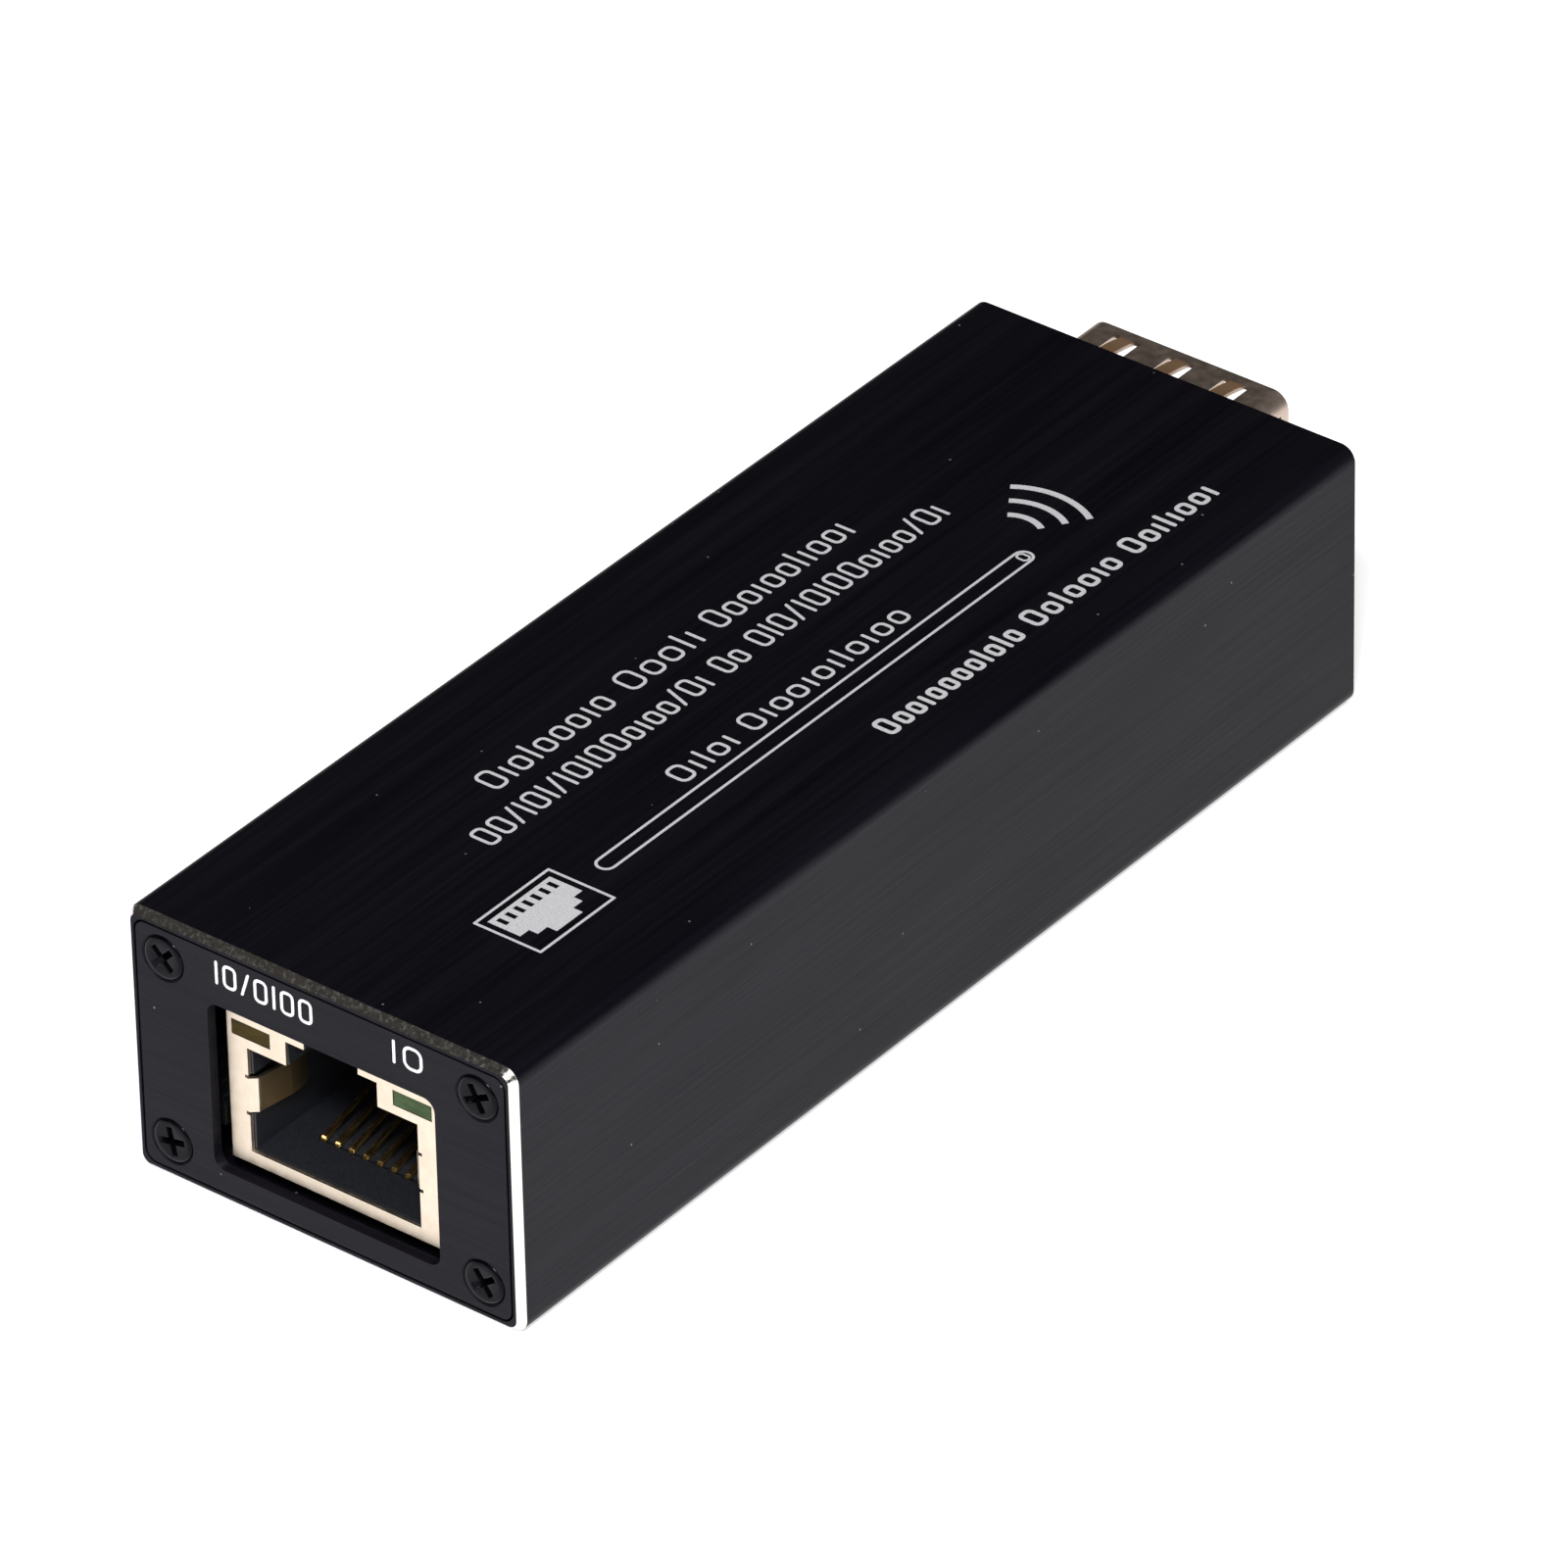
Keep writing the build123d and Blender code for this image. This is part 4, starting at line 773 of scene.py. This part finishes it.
def row_of_marks(mesh, place, base, height, stroke, groups):
    """A row of marks in groups of (start, end, marks): rings, bars and slants, tall or small."""
    for start, end, marks in groups:
        unit = (end - start) / sum(MARK_SHARES[mark] for mark in marks)
        for mark in marks:
            wide = MARK_SHARES[mark] * unit
            tall = height * (SMALL_SHARE if mark in "oi" else 1.0)
            middle = (start + wide / 2, base + tall / 2)
            if mark in "oO":
                ring(mesh, place, *middle, wide * RING_SHARE, tall, wide * BEND_SHARE, stroke)
            else:
                bar(mesh, place, *middle, stroke, tall, SLANT if mark == "/" else 0.0)
            start += wide


print("points round one mark:", len(rounded(0, 0, 2, 2, 1)))

# %% [markdown]
# Print on the top
# Reading along the length from the socket to the cage, the rows follow each other across the
# top. Each is written as its base line, its height, its stroke and its groups of marks. The ink
# is a silver grey with fine flakes, so it is half matt and slightly metallic.

# %% Print the top
silver_ink = worked_finish("silver_pad_ink", (0.08, 0.08, 0.08), ("#C6C6CA", "#E4E4E8"),
                           (0.45, 0.65), 0.002, {"Metallic": 0.1, "IOR": 1.5})


def on_top(u, v, rise):
    """A place on the top: u runs towards the cage and v towards the left edge."""
    return (-v, u, case_high.z + rise)


ROW_STROKE = 0.22
BOLD_STROKE = 0.29
ROWS = (
    (4.1, 2.0, ROW_STROKE, ((-20.85, -9.5, "Oioloooio"), (-8.4, -1.25, "Oooli"),
                            (-0.35, 12.75, "Oooiooliooi"))),
    (0.85, 1.9, ROW_STROKE, ((-25.35, -4.65, "OO/lOl/lOlOOoioo/Oi"), (-3.75, -1.15, "Oo"),
                             (-0.35, 17.5, "OlO/lOlOOoioo/Oi"))),
    (-4.0, 1.75, ROW_STROKE, ((-14.0, -8.4, "Oiloi"), (-7.5, 7.6, "Oiooioiloioo"))),
    (-10.5, 1.75, BOLD_STROKE, ((-3.15, 9.85, "Oooioooololo"), (10.6, 19.25, "Oolooio"),
                                (20.05, 28.5, "Ooiliooi"))),
)
top_print = bmesh.new()
for base, height, stroke, words in ROWS:
    row_of_marks(top_print, on_top, base, height, stroke, words)
finish_piece("case_top_rows", top_print, silver_ink)

# %% [markdown]
# Signs on the top
# The capsule, the arcs and the socket's sign are line drawings with one stroke width. The
# socket's sign is a frame round a filled outline with a step for the latch, drawn for one half
# and mirrored, and a comb of bare slots for its contacts.

# %% Print the signs
SIGN_STROKE = 0.18
FIBRE = ((-23.35, 16.75), (-6.0, -4.65))
FIBRE_STRAIGHT = 0.01
ARC_CENTRE = (17.3, -3.1)
ARC_RADII = (2.2, 3.7, 5.2)
ARC_HALF_ANGLE = 34.0
ARC_STROKE = 0.42
ARC_STEPS = 14
CORE_LONG_SHARE = 0.5
CORE_TALL_SHARE = 0.7
CORE_CORNER_SHARE = 0.24
CORE_STROKE_SHARE = 0.8
FRAME_CORNER = 0.06
SIGN = ((-31.75, -25.0), (-7.9, -3.0))
SOCKET_SHARES = ((0.91, 0.12), (0.91, 0.6), (0.795, 0.6), (0.795, 0.73), (0.67, 0.73), (0.67, 0.87))
SLOT_COUNT = 7
SLOT_STEP_SHARE = 0.11
SLOT_WIDTH_SHARE = 0.052
SLOT_TOP_SHARE = 0.18
SLOT_FOOT_SHARE = 0.335


def arc_points(radius, angles):
    """Points at one radius round the end of the fibre."""
    return [(ARC_CENTRE[0] + radius * math.cos(a), ARC_CENTRE[1] + radius * math.sin(a)) for a in angles]


def arc_band(mesh, place, radius):
    """One arc of ink, as wide as ARC_STROKE."""
    shares = [2 * step / ARC_STEPS - 1 for step in range(ARC_STEPS + 1)]
    angles = [math.radians(ARC_HALF_ANGLE * share) for share in shares]
    outer = arc_points(radius + ARC_STROKE / 2, angles)
    inner = arc_points(radius - ARC_STROKE / 2, angles[::-1])
    film(mesh, place, outer + inner)


signs = bmesh.new()
(fibre_start, fibre_end), (fibre_low, fibre_high) = FIBRE
fibre_tall = fibre_high - fibre_low
fibre_middle = ((fibre_start + fibre_end) / 2, (fibre_low + fibre_high) / 2)
ring(signs, on_top, *fibre_middle, fibre_end - fibre_start, fibre_tall, fibre_tall / 2 - FIBRE_STRAIGHT,
     SIGN_STROKE)
ring(signs, on_top, fibre_end - fibre_tall / 2, fibre_middle[1], fibre_tall * CORE_LONG_SHARE,
     fibre_tall * CORE_TALL_SHARE, fibre_tall * CORE_CORNER_SHARE, SIGN_STROKE * CORE_STROKE_SHARE)
for radius in ARC_RADII:
    arc_band(signs, on_top, radius)
(sign_start, sign_end), (sign_low, sign_high) = SIGN
sign_long, sign_tall = sign_end - sign_start, sign_high - sign_low
sign_middle = ((sign_start + sign_end) / 2, (sign_low + sign_high) / 2)
ring(signs, on_top, *sign_middle, sign_long, sign_tall, FRAME_CORNER, SIGN_STROKE)


def in_sign(across, down):
    """A point of the sign from its shares of the frame's length and height."""
    return sign_start + across * sign_long, sign_high - down * sign_tall


def slot(number):
    """The outline of one bare slot, counted from the left."""
    middle = 0.5 + (number - (SLOT_COUNT - 1) / 2) * SLOT_STEP_SHARE
    left, right = middle - SLOT_WIDTH_SHARE / 2, middle + SLOT_WIDTH_SHARE / 2
    corners = ((left, SLOT_TOP_SHARE), (right, SLOT_TOP_SHARE),
               (right, SLOT_FOOT_SHARE), (left, SLOT_FOOT_SHARE))
    return [in_sign(*corner) for corner in corners]


mirrored = [(1 - across, down) for across, down in reversed(SOCKET_SHARES)]
socket_outline = [in_sign(*point) for point in list(SOCKET_SHARES) + mirrored]
film(signs, on_top, socket_outline, *[slot(number) for number in range(SLOT_COUNT)])
finish_piece("case_top_signs", signs, silver_ink)

# %% [markdown]
# Marks by the lamps
# The plate carries a white legend over each lamp. Here it is plain rings and strokes again, in
# an opaque white enamel ink that sits a little brighter than the silver.

# %% Print the front plate
white_ink = worked_finish("white_enamel_ink", (0.1, 0.1, 0.1), ("#E6E6E8", "#F6F6F8"), (0.4, 0.55),
                          0.001, {"IOR": 1.5})
LEGENDS = ((-7.66, -0.26, "lO/OlOO"), (5.0, 7.7, "lO"))
LEGEND_BASE = 15.2
LEGEND_HEIGHT = 1.6
LEGEND_STROKE = 0.2
plate_face = box_mm("front_plate")[0].y


def on_plate(u, v, rise):
    """A place on the front plate: u runs to the right and v upwards."""
    return (u, plate_face - rise, v)


front_print = bmesh.new()
for start, end, marks in LEGENDS:
    row_of_marks(front_print, on_plate, LEGEND_BASE, LEGEND_HEIGHT, LEGEND_STROKE,
                 ((start, end, marks),))
finish_piece("front_plate_legends", front_print, white_ink)

# %% [markdown]
# The floor
# A pale table without an edge in view. Nearly half of its light is its own, as with a back-lit
# sheet of acrylic, so that the shadow under the box stays soft and faint. It lies a hair below
# the box, because two faces in one place would flicker into each other.

# %% Lay the floor
FLOOR_REACH = 3.0
FLOOR_GAP = 0.03
FLOOR_CELLS = 8
FLOOR_GLOW = 0.57
floor_mesh = bmesh.new()
bmesh.ops.create_grid(floor_mesh, x_segments=FLOOR_CELLS, y_segments=FLOOR_CELLS, size=FLOOR_REACH)
floor_data = bpy.data.meshes.new("studio_floor")
floor_mesh.to_mesh(floor_data)
floor_mesh.free()
floor_data.materials.append(worked_finish(
    "pale_acrylic", (40.0, 40.0, 40.0), ("#F4F4F4", "#F8F8F8"), (0.6, 0.7), 0.0,
    {"Emission Color": (1.0, 1.0, 1.0, 1.0), "Emission Strength": FLOOR_GLOW, "Specular IOR Level": 0.0}))
floor = bpy.data.objects.new("studio_floor", floor_data)
floor.location.z = (case_low.z - FLOOR_GAP) * MM
bpy.context.scene.collection.objects.link(floor)
print("floor at mm:", round(floor.location.z / MM, 3))
